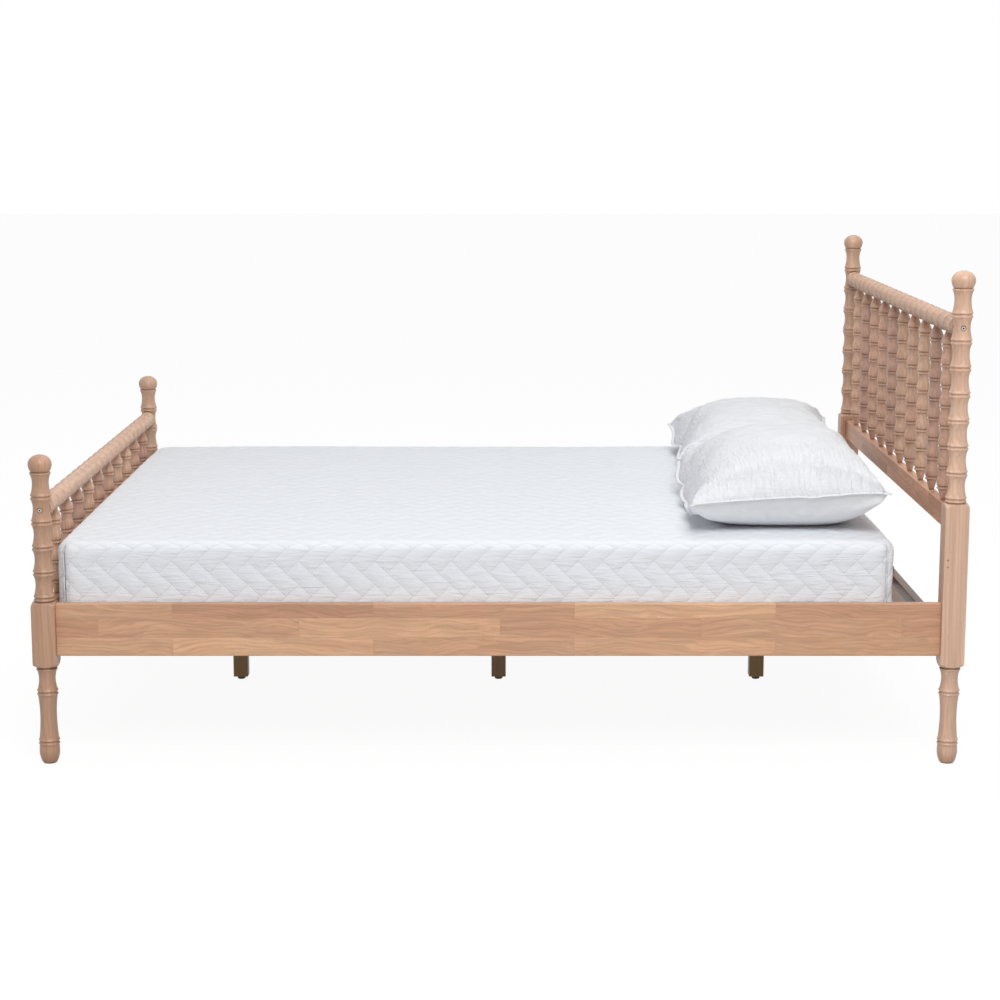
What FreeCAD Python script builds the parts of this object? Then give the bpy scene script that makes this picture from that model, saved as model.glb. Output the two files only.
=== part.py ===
import FreeCAD, Part
import math
import os
import Sketcher

# Spindle bed, made up with a mattress and two pillows.
# Frame: X runs along the bed with the head at +X, Y across it, Z up.
# The origin is on the floor, at the middle of the four posts. Millimetres.

V = FreeCAD.Vector
doc = FreeCAD.newDocument("spindle_bed")
sheet = doc.addObject("Spreadsheet::Sheet", "sheet")

SIZES = [
    # the four posts
    ("post_span_x", 2077.0), ("post_span_y", 1550.0),
    ("block_side", 54.0), ("lip_rad", 24.25), ("groove_rad", 21.75),
    ("waist_rad", 20.0), ("core_rad", 22.5), ("ring_half", 4.8),
    ("foot_tip_rad", 15.0), ("foot_mid_rad", 21.4), ("foot_mid_z", 12.8),
    ("foot_bulge_z", 32.0),
    ("ball_rad", 27.0), ("ball_rise", 16.5), ("ball_up", 22.0), ("ball_down", 28.0),
    ("ball_flat_rad", 4.6),
    ("ring_low_z", 51.0), ("ring_mid_z", 168.5), ("ring_block_z", 227.5),
    ("leg_waist_rad", 19.75), ("leg_top_waist_rad", 19.25), ("block_base_z", 241.0),
    ("shoulder_rise", 9.4), ("shoulder_rad", 33.1),
    ("head_ring_z", 617.9), ("head_pitch", 59.9), ("head_bays", 8),
    ("foot_ring_z", 389.8), ("foot_pitch", 58.5), ("foot_bays", 5),
    ("shoulder_drop", 18.8),
    # ringed top rails
    ("head_rail_bay", 6.5), ("foot_rail_bay", 3.5),
    ("rail_lip_rad", 22.0), ("rail_waist_rad", 18.5), ("rail_pitch", 70.4545),
    ("cope_depth", 6.0), ("bore_spare", 5.0),
    ("bolt_head_rad", 6.5), ("bolt_head_high", 5.0), ("bolt_rad", 4.0),
    ("bolt_long", 95.0), ("running_gap", 0.05),
    # spindles
    ("spindle_count", 10), ("spindle_lip_rad", 16.0), ("spindle_waist_rad", 12.5),
    ("spindle_tip_rad", 6.0), ("spindle_pitch", 47.4), ("tenon_long", 12.0),
    ("head_rings", 8), ("foot_rings", 4),
    # flat rails
    ("board_thick", 22.0), ("panel_base_z", 538.0), ("panel_high", 55.0),
    ("rail_base_z", 254.4), ("rail_high", 122.9), ("foot_rail_high", 116.0),
    ("side_rail_out", 785.0),
    ("rail_ease", 2.0), ("mortise_long", 20.0), ("mortise_thick", 12.0),
    ("mortise_inset", 10.0),
    # mattress support
    ("ledger_wide", 24.0), ("ledger_high", 55.0), ("ledger_end_gap", 12.0), ("slat_wide", 90.0),
    ("slat_thick", 18.0), ("slat_count", 12), ("slat_pitch", 170.0),
    ("slat_end_gap", 3.0), ("beam_wide", 60.0), ("beam_high", 45.0),
    ("beam_housing", 12.0),
    ("leg_side", 38.0), ("leg_pitch", 685.0), ("leg_tenon_side", 24.0),
    ("leg_tenon_long", 25.0), ("glide_rad", 10.5), ("glide_high", 9.0), ("glide_bevel", 1.5),
    ("stud_rad", 4.0), ("stud_long", 30.0), ("stud_spare", 3.0),
    # hook-on fittings between the side rails and the posts
    ("plate_thick", 2.5), ("plate_wide", 16.0), ("plate_high", 100.0),
    ("hook_reach", 11.0), ("hook_thick", 2.5), ("hook_high", 22.0),
    ("hook_pitch", 50.0), ("hook_root", 9.0), ("hook_ease", 3.0), ("hook_gap", 0.3),
    ("slot_play", 0.5), ("slot_head_room", 2.0), ("slot_drop", 6.0), ("room_play", 1.5),
    # mattress and pillows
    ("mattress_long", 1906.0), ("mattress_wide", 1524.0), ("mattress_mid_x", -50.0),
    ("mattress_top_z", 519.0), ("soft_gap", 0.4), ("mattress_corner", 90.0),
    ("pillow_long", 690.0), ("pillow_wide", 474.0), ("pillow_mid_x", 684.0),
    ("pillow_mid_y", 378.0), ("pillow_seam", 8.0), ("pillow_seam_z", 90.0),
    ("pillow_tilt", 26.0), ("pillow_crown", 116.0), ("pillow_draw", 11.0),
    ("far_pillow_back", 28.0), ("far_pillow_in", 24.0),
]
for row, (alias, value) in enumerate(SIZES, start=1):
    sheet.set("A%d" % row, alias)
    sheet.set("B%d" % row, str(value))
    sheet.setAlias("B%d" % row, alias)
doc.recompute()


class Size:
    """A number together with the sheet expression that gives it."""

    def __init__(self, value, text):
        self.value, self.text = value, text

    def _mix(self, other, sign):
        other = other if isinstance(other, Size) else Size(float(other), repr(float(other)))
        ops = {"+": self.value + other.value, "-": self.value - other.value,
               "*": self.value * other.value}
        value = ops[sign] if sign in ops else self.value / other.value
        return Size(value, "(%s %s %s)" % (self.text, sign, other.text))

    def __add__(self, other):
        return self._mix(other, "+")

    def __sub__(self, other):
        return self._mix(other, "-")

    def __mul__(self, other):
        return self._mix(other, "*")

    def __truediv__(self, other):
        return self._mix(other, "/")

    def __neg__(self):
        return self * -1.0


def cell(alias):
    return Size(float(sheet.get(alias)), "sheet." + alias)


def fixed(number):
    return Size(float(number), repr(float(number)))


ZERO = fixed(0)
parts = []


def new_body(label):
    body = doc.addObject("PartDesign::Body", label)
    body.Label = label
    parts.append(body)
    return body


def place(obj, x=ZERO, y=ZERO, z=ZERO, turn=None):
    """Puts a sub-part at a position bound to the sheet, turned by (axis, degrees) if asked."""
    if turn:
        obj.Placement = FreeCAD.Placement(V(0, 0, 0), FreeCAD.Rotation(V(*turn[0]), turn[1]))
    for axis, size in (("x", x), ("y", y), ("z", z)):
        obj.setExpression("Placement.Base." + axis, size.text)


def new_sketch(body, role, name, height=None, shift=None):
    """A sketch on one of the body's own origin planes, moved along its normal by height
    and along its second axis by shift if asked."""
    sketch = body.newObject("Sketcher::SketchObject", name)
    plane = [f for f in body.Origin.OriginFeatures if f.Role == role][0]
    sketch.AttachmentSupport = [(plane, "")]
    sketch.MapMode = "FlatFace"
    if height is not None:
        sketch.setExpression("AttachmentOffset.Base.z", height.text)
    if shift is not None:
        sketch.setExpression("AttachmentOffset.Base.y", shift.text)
    return sketch


def draw(sketch, shapes, rules):
    """Adds all the geometry and constraints together. A rule is the constraint's arguments
    and, where a size drives it, that size last."""
    sketch.addGeometry([shape for shape in shapes], False)
    sketch.addConstraint([
        Sketcher.Constraint(*[a.value if isinstance(a, Size) else a for a in rule])
        for rule in rules])
    for k, rule in enumerate(rules):
        if isinstance(rule[-1], Size) and rule[-1].text != repr(rule[-1].value):
            sketch.setExpression("Constraints[%d]" % k, rule[-1].text)
    return sketch


def outline(sketch, corners):
    """A closed outline through corners (u, v); a corner given as (u, v, mid_u, mid_v)
    is reached from the one before it by an arc through (mid_u, mid_v)."""
    shapes, ends, rules = [], [], []
    for i, corner in enumerate(corners):
        start = corners[i - 1]
        a = V(start[0].value, start[1].value, 0)
        b = V(corner[0].value, corner[1].value, 0)
        if len(corner) == 4:
            arc, counter = arc_through(a, V(corner[2].value, corner[3].value, 0), b)
            shapes.append(arc)
            ends.append((1, 2) if counter else (2, 1))
            rules.append(("Radius", i, arc_radius(start, corner)))
        else:
            shapes.append(Part.LineSegment(a, b))
            ends.append((1, 2))
    for i, (first, last) in enumerate(ends):
        after = (i + 1) % len(ends)
        rules.append(("Coincident", i, last, after, ends[after][0]))
        for kind, size, axis in (("DistanceX", corners[i][0], -2),
                                 ("DistanceY", corners[i][1], -1)):
            rules.append(("PointOnObject", i, last, axis) if size is ZERO
                         else (kind, -1, 1, i, last, size))
    return draw(sketch, shapes, rules)


def arc_through(a, mid, b):
    """The arc from a through mid to b as a counterclockwise arc, and whether a is its start."""
    circle = Part.Arc(a, mid, b).toShape().Curve
    angle = [math.atan2(p.y - circle.Center.y, p.x - circle.Center.x) for p in (a, b)]
    counter = (mid - a).cross(b - mid).z > 0
    first, last = angle if counter else angle[::-1]
    if last < first:
        last += 2 * math.pi
    upright = Part.Circle(circle.Center, V(0, 0, 1), circle.Radius)
    return Part.ArcOfCircle(upright, first, last), counter


def arc_radius(before, corner):
    """The radius of the circle through before, the mid point and the corner: the product
    of the triangle's sides over twice its doubled area."""
    points = [(before[0], before[1]), (corner[2], corner[3]), (corner[0], corner[1])]
    value, text = 1.0, []
    for i, (u, v) in enumerate(points):
        du, dv = u - points[i - 1][0], v - points[i - 1][1]
        value *= math.hypot(du.value, dv.value)
        text.append("sqrt((%s) ^ 2 + (%s) ^ 2)" % (du.text, dv.text))
    (au, av), (mu, mv), (bu, bv) = points
    area = (mu - au) * (bv - av) - (mv - av) * (bu - au)
    return Size(value / abs(area.value) / 2, "%s / abs(%s) / 2" % (" * ".join(text), area.text))


def turned(body, name, corners, plane="XZ_Plane", axis="V_Axis", kind="Revolution"):
    """A full turn of an outline: (radius, height) about Z in the XZ plane, or
    (length, radius) about Y in the YZ plane. Kind Groove takes the material off."""
    sketch = outline(new_sketch(body, plane, name + "Profile"), corners)
    feature = body.newObject("PartDesign::" + kind, name)
    feature.Profile = sketch
    feature.ReferenceAxis = (sketch, [axis])
    feature.Angle, feature.Refine = 360, False
    return feature


def polygon(sketch, radius, sides):
    """A regular polygon about the sketch's origin, held by its corners' distances."""
    turns = [2 * math.pi * k / sides for k in range(sides)]
    return outline(sketch, [(radius * math.cos(t), radius * math.sin(t)) for t in turns])


def faceted(body, name, corners, sides, role="XY_Plane", kind="AdditiveLoft", shift=None):
    """A turning with flat facets: regular polygons at the profile's (radius, height)
    corners, joined by straight walls. Kind SubtractiveLoft takes the material off."""
    sketches = [polygon(new_sketch(body, role, "%s%d" % (name, k), height, shift), radius, sides)
                for k, (radius, height) in enumerate(corners)]
    loft = body.newObject("PartDesign::" + kind, name)
    loft.Profile = sketches[0]
    loft.Sections = sketches[1:]
    loft.Ruled, loft.Refine = True, False
    return loft


def rectangle(sketch, u0, u1, v0, v1):
    return outline(sketch, [(u0, v0), (u1, v0), (u1, v1), (u0, v1)])


def pad(body, name, sketch, length, reverse=False):
    feature = body.newObject("PartDesign::Pad", name)
    feature.Profile = sketch
    feature.Reversed = reverse
    feature.setExpression("Length", length.text)
    feature.Length = length.value
    feature.Refine = False
    return feature


def pocket(body, name, sketch, length, reverse=False):
    feature = body.newObject("PartDesign::Pocket", name)
    feature.Profile = sketch
    feature.Reversed = reverse
    feature.setExpression("Length", length.text)
    feature.Length = length.value
    feature.Refine = False
    return feature


def repeat(body, name, features, axis_role, span, count, reverse=False):
    """A linear pattern of features along one of the body's own axes."""
    pattern = body.newObject("PartDesign::LinearPattern", name)
    pattern.Originals = features
    axis = [f for f in body.Origin.OriginFeatures if f.Role == axis_role][0]
    pattern.Direction = (axis, [""])
    pattern.Reversed = reverse
    pattern.setExpression("Length", span.text)
    pattern.Length = span.value
    pattern.setExpression("Occurrences", count.text)
    pattern.Occurrences, pattern.Refine = int(round(count.value)), False
    body.Tip = pattern
    return pattern


# ---------------------------------------------------------------- shared sizes
HALF_X, HALF_Y = cell("post_span_x") / 2, cell("post_span_y") / 2
LIP, GROOVE, WAIST = cell("lip_rad"), cell("groove_rad"), cell("waist_rad")
CORE, HALF = cell("core_rad"), cell("ring_half")
BLOCK = cell("block_side") / 2
SPINDLE_STEP = cell("post_span_y") / (cell("spindle_count") + 1)
BOARD = cell("board_thick") / 2
RAIL_BASE = cell("rail_base_z")
SIDE_OUT = cell("side_rail_out")
SIDE_IN = SIDE_OUT - cell("board_thick")
GAP = cell("running_gap")
OVER = fixed(1.0)  # how far outside a surface a cut into it starts
LEDGER_TOP = RAIL_BASE + cell("ledger_high")
SLAT_TOP = LEDGER_TOP + cell("slat_thick")
PLATE_Z = RAIL_BASE + cell("rail_high") / 2
SOFT = cell("soft_gap")
# each top rail meets its posts halfway up a bay
HEAD_RAIL_Z = cell("head_ring_z") + cell("head_pitch") * cell("head_rail_bay")
FOOT_RAIL_Z = cell("foot_ring_z") + cell("foot_pitch") * cell("foot_rail_bay")


# the seat of a top rail's bolt from the post's axis, and its reach past that axis
BOLT_SEAT = WAIST - cell("bolt_head_high")
BOLT_REACH = cell("bolt_long") - BOLT_SEAT
ACROSS, ALONG = V(0, 1, 0), V(1, 0, 0)


def mirror_image(name, source, normal):
    twin = doc.addObject("Part::Mirroring", name)
    twin.Source, twin.Normal, twin.Base = source, normal, V(0, 0, 0)
    return twin


def mirrored(label, source):
    """The same piece for the other side of the bed."""
    twin = mirror_image(label, source, ACROSS)
    twin.Label = label
    parts.append(twin)
    return twin


# ---------------------------------------------------------------- turned posts
# turnings have flat facets: so many round a post, and round a spindle or a top rail
POST_SIDES, SPINDLE_SIDES = 12, 8
# the heights of the ball's facet rows, in degrees above its middle
BALL_ROWS = (-14, 16, 43, 66)
# the part of a hollow's length over which it flares out to either lip
FLARE_SHARE = 0.3


def hollow(low, high, waist):
    """A drawn-in stretch between two lips."""
    flare = (high - low) * FLARE_SHARE
    return [(LIP, low), (waist, low + flare), (waist, high - flare), (LIP, high)]


def post(label, x_sign, ring_z, pitch, bays, rail_z, mortises):
    """A bamboo-turned post of the near side: leg, square block, bays between double
    rings, and a ball on top. Its axis is the local Z, and -Y looks out of the bed."""
    body = new_body(label)
    # square block, its corners turned down to rounded shoulders at both ends
    base, crown, rise = cell("block_base_z"), ring_z - cell("shoulder_drop"), cell("shoulder_rise")
    block_low, block_high = base - rise, crown + rise
    square = rectangle(new_sketch(body, "XY_Plane", "BlockOutline", block_low),
                       -BLOCK, BLOCK, -BLOCK, BLOCK)
    pad(body, "Block", square, block_high - block_low)
    corner = BLOCK * math.sqrt(2)
    for name, edge, away in (("TopShoulder", crown, 1.0), ("BottomShoulder", base, -1.0)):
        far = edge + rise * away
        past = far + OVER * away
        turned(body, name, [
            (cell("shoulder_rad"), far), (corner, edge), (corner + OVER, edge),
            (corner + OVER, past), (cell("shoulder_rad"), past)], kind="Groove")
    # mortises for the flat cross rails, from the inner side
    half, inset = cell("mortise_thick") / 2 + GAP, cell("mortise_inset") - GAP
    for name, low_edge, high in mortises:
        mortise = rectangle(new_sketch(body, "XZ_Plane", name + "Outline", -BLOCK - OVER),
                            -half, half, low_edge + inset, low_edge + high - inset)
        pocket(body, name, mortise, cell("mortise_long") + OVER * 2, reverse=True)
    # let-in plate and hook room on the face that the side rail meets
    wide = cell("plate_wide") / 2 + GAP
    side_y = -(SIDE_OUT - BOARD - HALF_Y)
    for name, half_y, half_z, depth in (
            ("PlateRecess", wide, cell("plate_high") / 2 + GAP, cell("plate_thick")),
            ("HookRoom", cell("hook_thick") / 2 + cell("room_play"),
             cell("plate_high") / 2 - cell("slot_drop"),
             cell("plate_thick") + cell("hook_reach") + cell("room_play"))):
        recess = rectangle(
            new_sketch(body, "YZ_Plane", name + "Outline", (BLOCK + OVER) * -x_sign),
            side_y - half_y, side_y + half_y, PLATE_Z - half_z, PLATE_Z + half_z)
        pocket(body, name, recess, depth + OVER, reverse=x_sign > 0)
    # the leg below the block: a bulged toe, then three rings with waists between them
    low, mid, block_ring = cell("ring_low_z"), cell("ring_mid_z"), cell("ring_block_z")
    tip, bulge, leg_waist = cell("foot_tip_rad"), cell("foot_bulge_z"), cell("leg_waist_rad")
    faceted(body, "Leg", [
        (tip, ZERO), (cell("foot_mid_rad"), cell("foot_mid_z")), (LIP, bulge),
        (LIP, low - HALF), (GROOVE, low)]
        + hollow(low + HALF, mid - HALF, leg_waist) + [(GROOVE, mid)]
        + hollow(mid + HALF, block_ring - HALF, cell("leg_top_waist_rad"))
        + [(GROOVE, block_ring - HALF / 4), (CORE, block_low)], POST_SIDES)
    # above it a drawn-in bay between each double ring and the next, then the ball
    upper = [(CORE, block_high), (LIP, ring_z - HALF), (GROOVE, ring_z)]
    for n in range(int(bays.value)):
        ring = ring_z + pitch * n
        upper += hollow(ring + HALF, ring + pitch - HALF, WAIST) + [(GROOVE, ring + pitch)]
    ball = cell("ball_rad")
    centre = ring_z + pitch * bays + cell("ball_rise")
    for row in BALL_ROWS:
        angle = math.radians(row)
        stretch = cell("ball_up") if row > 0 else cell("ball_down")
        upper.append((ball * math.cos(angle), centre + stretch * math.sin(angle)))
    upper.append((cell("ball_flat_rad"), centre + cell("ball_up")))
    faceted(body, "Upper", upper, POST_SIDES)
    # counterbored hole for the top rail's bolt, from the outer side
    for name, radius, start, floor in (
            ("BoltHole", cell("bolt_rad") + GAP, BLOCK, -BLOCK),
            ("Counterbore", cell("bolt_head_rad") + GAP, WAIST + OVER, BOLT_SEAT)):
        hole = polygon(new_sketch(body, "XZ_Plane", name + "Outline", start, rail_z), radius,
                       POST_SIDES)
        pocket(body, name, hole, start - floor)
    place(body, HALF_X * x_sign, -HALF_Y)
    return body


PANEL = ("PanelMortise", cell("panel_base_z"), cell("panel_high"))
LOWER = ("LowerMortise", RAIL_BASE, cell("rail_high"))
FOOT_LOWER = ("LowerMortise", RAIL_BASE, cell("foot_rail_high"))
head_post = post("head_post_right", 1.0, cell("head_ring_z"), cell("head_pitch"),
                 cell("head_bays"), HEAD_RAIL_Z, [PANEL, LOWER])
mirrored("head_post_left", head_post)
foot_post = post("foot_post_right", -1.0, cell("foot_ring_z"), cell("foot_pitch"),
                 cell("foot_bays"), FOOT_RAIL_Z, [FOOT_LOWER])
mirrored("foot_post_left", foot_post)


# ---------------------------------------------------------------- ringed top rails
def top_rail(label, x_sign, rail_z, pitch):
    """A turned rail with a ring a quarter of the way into each gap between spindles, coped
    at both ends to the post's bay, bored for its bolts and spindles."""
    body = new_body(label)
    lip, waist, step = cell("rail_lip_rad"), cell("rail_waist_rad"), cell("rail_pitch")
    rings = (cell("spindle_count") + 1) * 2
    first = step * (rings - 1) / -2
    end = HALF_Y - WAIST + cell("cope_depth")
    corners = [(waist, -end)]
    for n in range(int(rings.value)):
        corners += [(lip, first + step * n), (waist, first + step * (n + 0.5))]
    corners[-1] = (waist, end)
    faceted(body, "Turning", corners, SPINDLE_SIDES, "XZ_Plane")
    tall = pitch / 2 - HALF
    for name, side in (("NearCope", -1.0), ("FarCope", 1.0)):
        faceted(body, name, hollow(-tall, tall, WAIST), POST_SIDES,
                kind="SubtractiveLoft", shift=HALF_Y * side)
    for name, away in (("NearBore", 1.0), ("FarBore", -1.0)):
        bore = polygon(new_sketch(body, "XZ_Plane", name + "Outline", HALF_Y * away),
                       cell("bolt_rad") + GAP, POST_SIDES)
        pocket(body, name, bore, BOLT_REACH + cell("bore_spare"), reverse=away < 0)
    socket = polygon(new_sketch(body, "XY_Plane", "SocketOutline", -waist - OVER,
                                SPINDLE_STEP * ((cell("spindle_count") - 1) / -2)),
                     cell("spindle_tip_rad") + GAP, SPINDLE_SIDES)
    hole = pocket(body, "Socket", socket, cell("tenon_long") + OVER * 2, reverse=True)
    repeat(body, "Sockets", [hole], "Y_Axis", SPINDLE_STEP * (cell("spindle_count") - 1),
           cell("spindle_count"))
    place(body, HALF_X * x_sign, ZERO, rail_z)
    return body


top_rail("head_top_rail", 1.0, HEAD_RAIL_Z, cell("head_pitch"))
top_rail("foot_top_rail", -1.0, FOOT_RAIL_Z, cell("foot_pitch"))


# ---------------------------------------------------------------- flat rails
def eased(u0, u1, v0, v1):
    """A board's cross-section with its four long edges eased."""
    e = cell("rail_ease")
    return [(u0 + e, v0), (u1 - e, v0), (u1, v0 + e), (u1, v1 - e),
            (u1 - e, v1), (u0 + e, v1), (u0, v1 - e), (u0, v0 + e)]


def cross_rail(label, x_sign, base, high, spindles, housing):
    """A board across the bed between two posts, tenoned into them at both ends."""
    body = new_body(label)
    half = HALF_Y - BLOCK
    section = outline(new_sketch(body, "XZ_Plane", "BoardOutline", -half),
                      eased(-BOARD, BOARD, ZERO, high))
    pad(body, "Board", section, half * 2)
    inset, thick, reach = cell("mortise_inset"), cell("mortise_thick") / 2, cell("mortise_long")
    for name, start, back in (("NearTenon", half, False), ("FarTenon", -half, True)):
        tenon = rectangle(new_sketch(body, "XZ_Plane", name + "Outline", start),
                          -thick, thick, inset, high - inset)
        # the near tenon grows towards -Y, the far one towards +Y
        pad(body, name, tenon, reach, reverse=back)
    if housing:
        low = LEDGER_TOP - cell("beam_high") - base
        slot = rectangle(new_sketch(body, "YZ_Plane", "HousingOutline", (BOARD + OVER) * -x_sign),
                         cell("beam_wide") / -2 - GAP, cell("beam_wide") / 2 + GAP,
                         low, LEDGER_TOP - base)
        pocket(body, "BeamHousing", slot, cell("beam_housing") + OVER, reverse=x_sign > 0)
    if spindles:
        hole = polygon(new_sketch(body, "XY_Plane", "SocketOutline", high + OVER,
                                  SPINDLE_STEP * ((cell("spindle_count") - 1) / -2)),
                       cell("spindle_tip_rad") + GAP, SPINDLE_SIDES)
        cut = pocket(body, "Socket", hole, cell("tenon_long") + OVER)
        repeat(body, "Sockets", [cut], "Y_Axis", SPINDLE_STEP * (cell("spindle_count") - 1),
               cell("spindle_count"))
    place(body, HALF_X * x_sign, ZERO, base)
    return body


cross_rail("head_panel_rail", 1.0, cell("panel_base_z"), cell("panel_high"), True, False)
cross_rail("head_lower_rail", 1.0, RAIL_BASE, cell("rail_high"), False, True)
cross_rail("foot_lower_rail", -1.0, RAIL_BASE, cell("foot_rail_high"), True, True)


def side_rail(label):
    """The near side rail, butted between the blocks, with a recess for a plate at each end."""
    body = new_body(label)
    half = HALF_X - BLOCK
    section = outline(new_sketch(body, "YZ_Plane", "BoardOutline", -half),
                      eased(-BOARD, BOARD, ZERO, cell("rail_high")))
    pad(body, "Board", section, half * 2)
    mid, tall = cell("rail_high") / 2, cell("plate_high") / 2 + GAP
    wide = cell("plate_wide") / 2 + GAP
    for name, sign in (("HeadRecess", 1.0), ("FootRecess", -1.0)):
        recess = rectangle(new_sketch(body, "YZ_Plane", name + "Outline", (half + OVER) * sign),
                           -wide, wide, mid - tall, mid + tall)
        pocket(body, name, recess, cell("plate_thick") + OVER, reverse=sign < 0)
    place(body, ZERO, -(SIDE_OUT - BOARD), RAIL_BASE)
    return body


mirrored("side_rail_left", side_rail("side_rail_right"))


# ---------------------------------------------------------------- spindles
def spindle(label, x_sign, y, base, room, rings):
    """A slim turning: a tenon and a cone at each end, rings and waists between them."""
    body = new_body(label)
    lip, tip, step = cell("spindle_lip_rad"), cell("spindle_tip_rad"), cell("spindle_pitch")
    tenon = cell("tenon_long")
    cone = (room - step * (rings - 1)) / 2
    corners = [(tip, -tenon), (tip, ZERO)]
    for n in range(int(rings.value)):
        corners += [(lip, cone + step * n), (cell("spindle_waist_rad"), cone + step * (n + 0.5))]
    corners[-1:] = [(tip, room), (tip, room + tenon)]
    faceted(body, "Turning", corners, SPINDLE_SIDES)
    place(body, HALF_X * x_sign, y, base)
    return body


PANEL_TOP = cell("panel_base_z") + cell("panel_high")
FOOT_RAIL_TOP = RAIL_BASE + cell("foot_rail_high")
for row_name, x_sign, base, rail_z, rings in (
        ("head", 1.0, PANEL_TOP, HEAD_RAIL_Z, cell("head_rings")),
        ("foot", -1.0, FOOT_RAIL_TOP, FOOT_RAIL_Z, cell("foot_rings"))):
    for n in range(int(cell("spindle_count").value)):
        y = SPINDLE_STEP * (n - (cell("spindle_count").value - 1) / 2)
        spindle("%s_spindle_%02d" % (row_name, n + 1), x_sign, y, base,
                rail_z - cell("rail_waist_rad") - base, rings)


# ---------------------------------------------------------------- mattress support
def ledger(label):
    """The strip along the inner face of the near side rail that carries the slat ends."""
    body = new_body(label)
    half = HALF_X - BLOCK - cell("ledger_end_gap")
    wide, high = cell("ledger_wide"), cell("ledger_high")
    section = rectangle(new_sketch(body, "YZ_Plane", "Outline", -half),
                        ZERO, wide, ZERO, high)
    pad(body, "Strip", section, half * 2)
    place(body, ZERO, -SIDE_IN, RAIL_BASE)
    return body


mirrored("slat_ledger_left", ledger("slat_ledger_right"))

beam = new_body("centre_beam")
beam_half = HALF_X - BOARD + cell("beam_housing")
half_wide = cell("beam_wide") / 2
pad(beam, "Beam", rectangle(new_sketch(beam, "YZ_Plane", "Outline", -beam_half),
                            -half_wide, half_wide, ZERO, cell("beam_high")), beam_half * 2)
stub = cell("leg_tenon_side") / 2 + GAP
mortise = rectangle(new_sketch(beam, "XY_Plane", "LegMortiseOutline", -OVER),
                    -cell("leg_pitch") - stub, -cell("leg_pitch") + stub, -stub, stub)
leg_hole = pocket(beam, "LegMortise", mortise, cell("leg_tenon_long") + OVER, reverse=True)
repeat(beam, "LegMortises", [leg_hole], "X_Axis", cell("leg_pitch") * 2, fixed(3))
place(beam, ZERO, ZERO, LEDGER_TOP - cell("beam_high"))

for leg_name, sign in (("foot", -1.0), ("middle", 0.0), ("head", 1.0)):
    # square centre leg, tenoned into the beam and bored for its levelling foot
    leg = new_body("centre_leg_" + leg_name)
    side = cell("leg_side") / 2
    leg_long = LEDGER_TOP - cell("beam_high") - cell("glide_high")
    pad(leg, "Post", outline(new_sketch(leg, "XY_Plane", "Outline"),
                             eased(-side, side, -side, side)), leg_long)
    tenon_half = cell("leg_tenon_side") / 2
    pad(leg, "Tenon", rectangle(new_sketch(leg, "XY_Plane", "TenonOutline", leg_long),
                                -tenon_half, tenon_half, -tenon_half, tenon_half),
        cell("leg_tenon_long"))
    pocket(leg, "StudBore", polygon(new_sketch(leg, "XY_Plane", "BoreOutline", -OVER),
                                    cell("stud_rad") + GAP, POST_SIDES),
           cell("stud_long") + cell("stud_spare"), reverse=True)
    place(leg, cell("leg_pitch") * sign, ZERO, cell("glide_high"))
    # disc glide on a stud that screws into the leg
    glide = new_body("levelling_foot_" + leg_name)
    rim, bevel, seat = cell("glide_rad"), cell("glide_bevel"), cell("glide_high") - SOFT
    faceted(glide, "Glide", [(rim - bevel, ZERO), (rim, bevel), (rim, seat)], POST_SIDES)
    pad(glide, "Stud", polygon(new_sketch(glide, "XY_Plane", "StudOutline", seat),
                               cell("stud_rad"), POST_SIDES), cell("stud_long") + SOFT)
    place(glide, cell("leg_pitch") * sign)

for n in range(int(cell("slat_count").value)):
    slat = new_body("slat_%02d" % (n + 1))
    reach = SIDE_IN - cell("slat_end_gap")
    wide = cell("slat_wide") / 2
    pad(slat, "Slat", outline(new_sketch(slat, "XZ_Plane", "Outline", -reach),
                              eased(-wide, wide, ZERO, cell("slat_thick"))), reach * 2)
    place(slat, cell("slat_pitch") * (n - (cell("slat_count").value - 1) / 2), ZERO, LEDGER_TOP)


# ---------------------------------------------------------------- fittings
def grouped(label, links):
    """One node for the same small fitting in several places."""
    node = doc.addObject("Part::Compound", label)
    node.Label = label
    node.Links = links
    parts.append(node)


def four_corners(label, source):
    """One fitting at each corner of the bed, from the one at the near head corner."""
    far = mirror_image(label + "Far", source, ACROSS)
    grouped(label, [source, far, mirror_image(label + "Foot", source, ALONG),
                    mirror_image(label + "FarFoot", far, ALONG)])


# a slotted plate let into the block, flush with its face
slotted = doc.addObject("PartDesign::Body", "SlottedPlate")
half_w, half_h = cell("plate_wide") / 2, cell("plate_high") / 2
pad(slotted, "Plate", rectangle(new_sketch(slotted, "YZ_Plane", "Outline"),
                                -half_w, half_w, -half_h, half_h), cell("plate_thick"))
slot_half = cell("hook_thick") / 2 + cell("slot_play")
tooth_top = cell("hook_pitch") / 2 + cell("hook_high") / 2
slot_top = tooth_top + cell("slot_head_room")
slot = rectangle(new_sketch(slotted, "YZ_Plane", "SlotOutline", cell("plate_thick") + OVER),
                 -slot_half, slot_half, slot_top - cell("hook_high") - cell("slot_drop"), slot_top)
upper_slot = pocket(slotted, "Slot", slot, cell("plate_thick") + OVER * 2)
repeat(slotted, "Slots", [upper_slot], "Z_Axis", cell("hook_pitch"), fixed(2), reverse=True)
SIDE_MID = -(SIDE_OUT - BOARD)
place(slotted, HALF_X - BLOCK, SIDE_MID, PLATE_Z)
four_corners("post_slot_plates", slotted)

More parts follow.
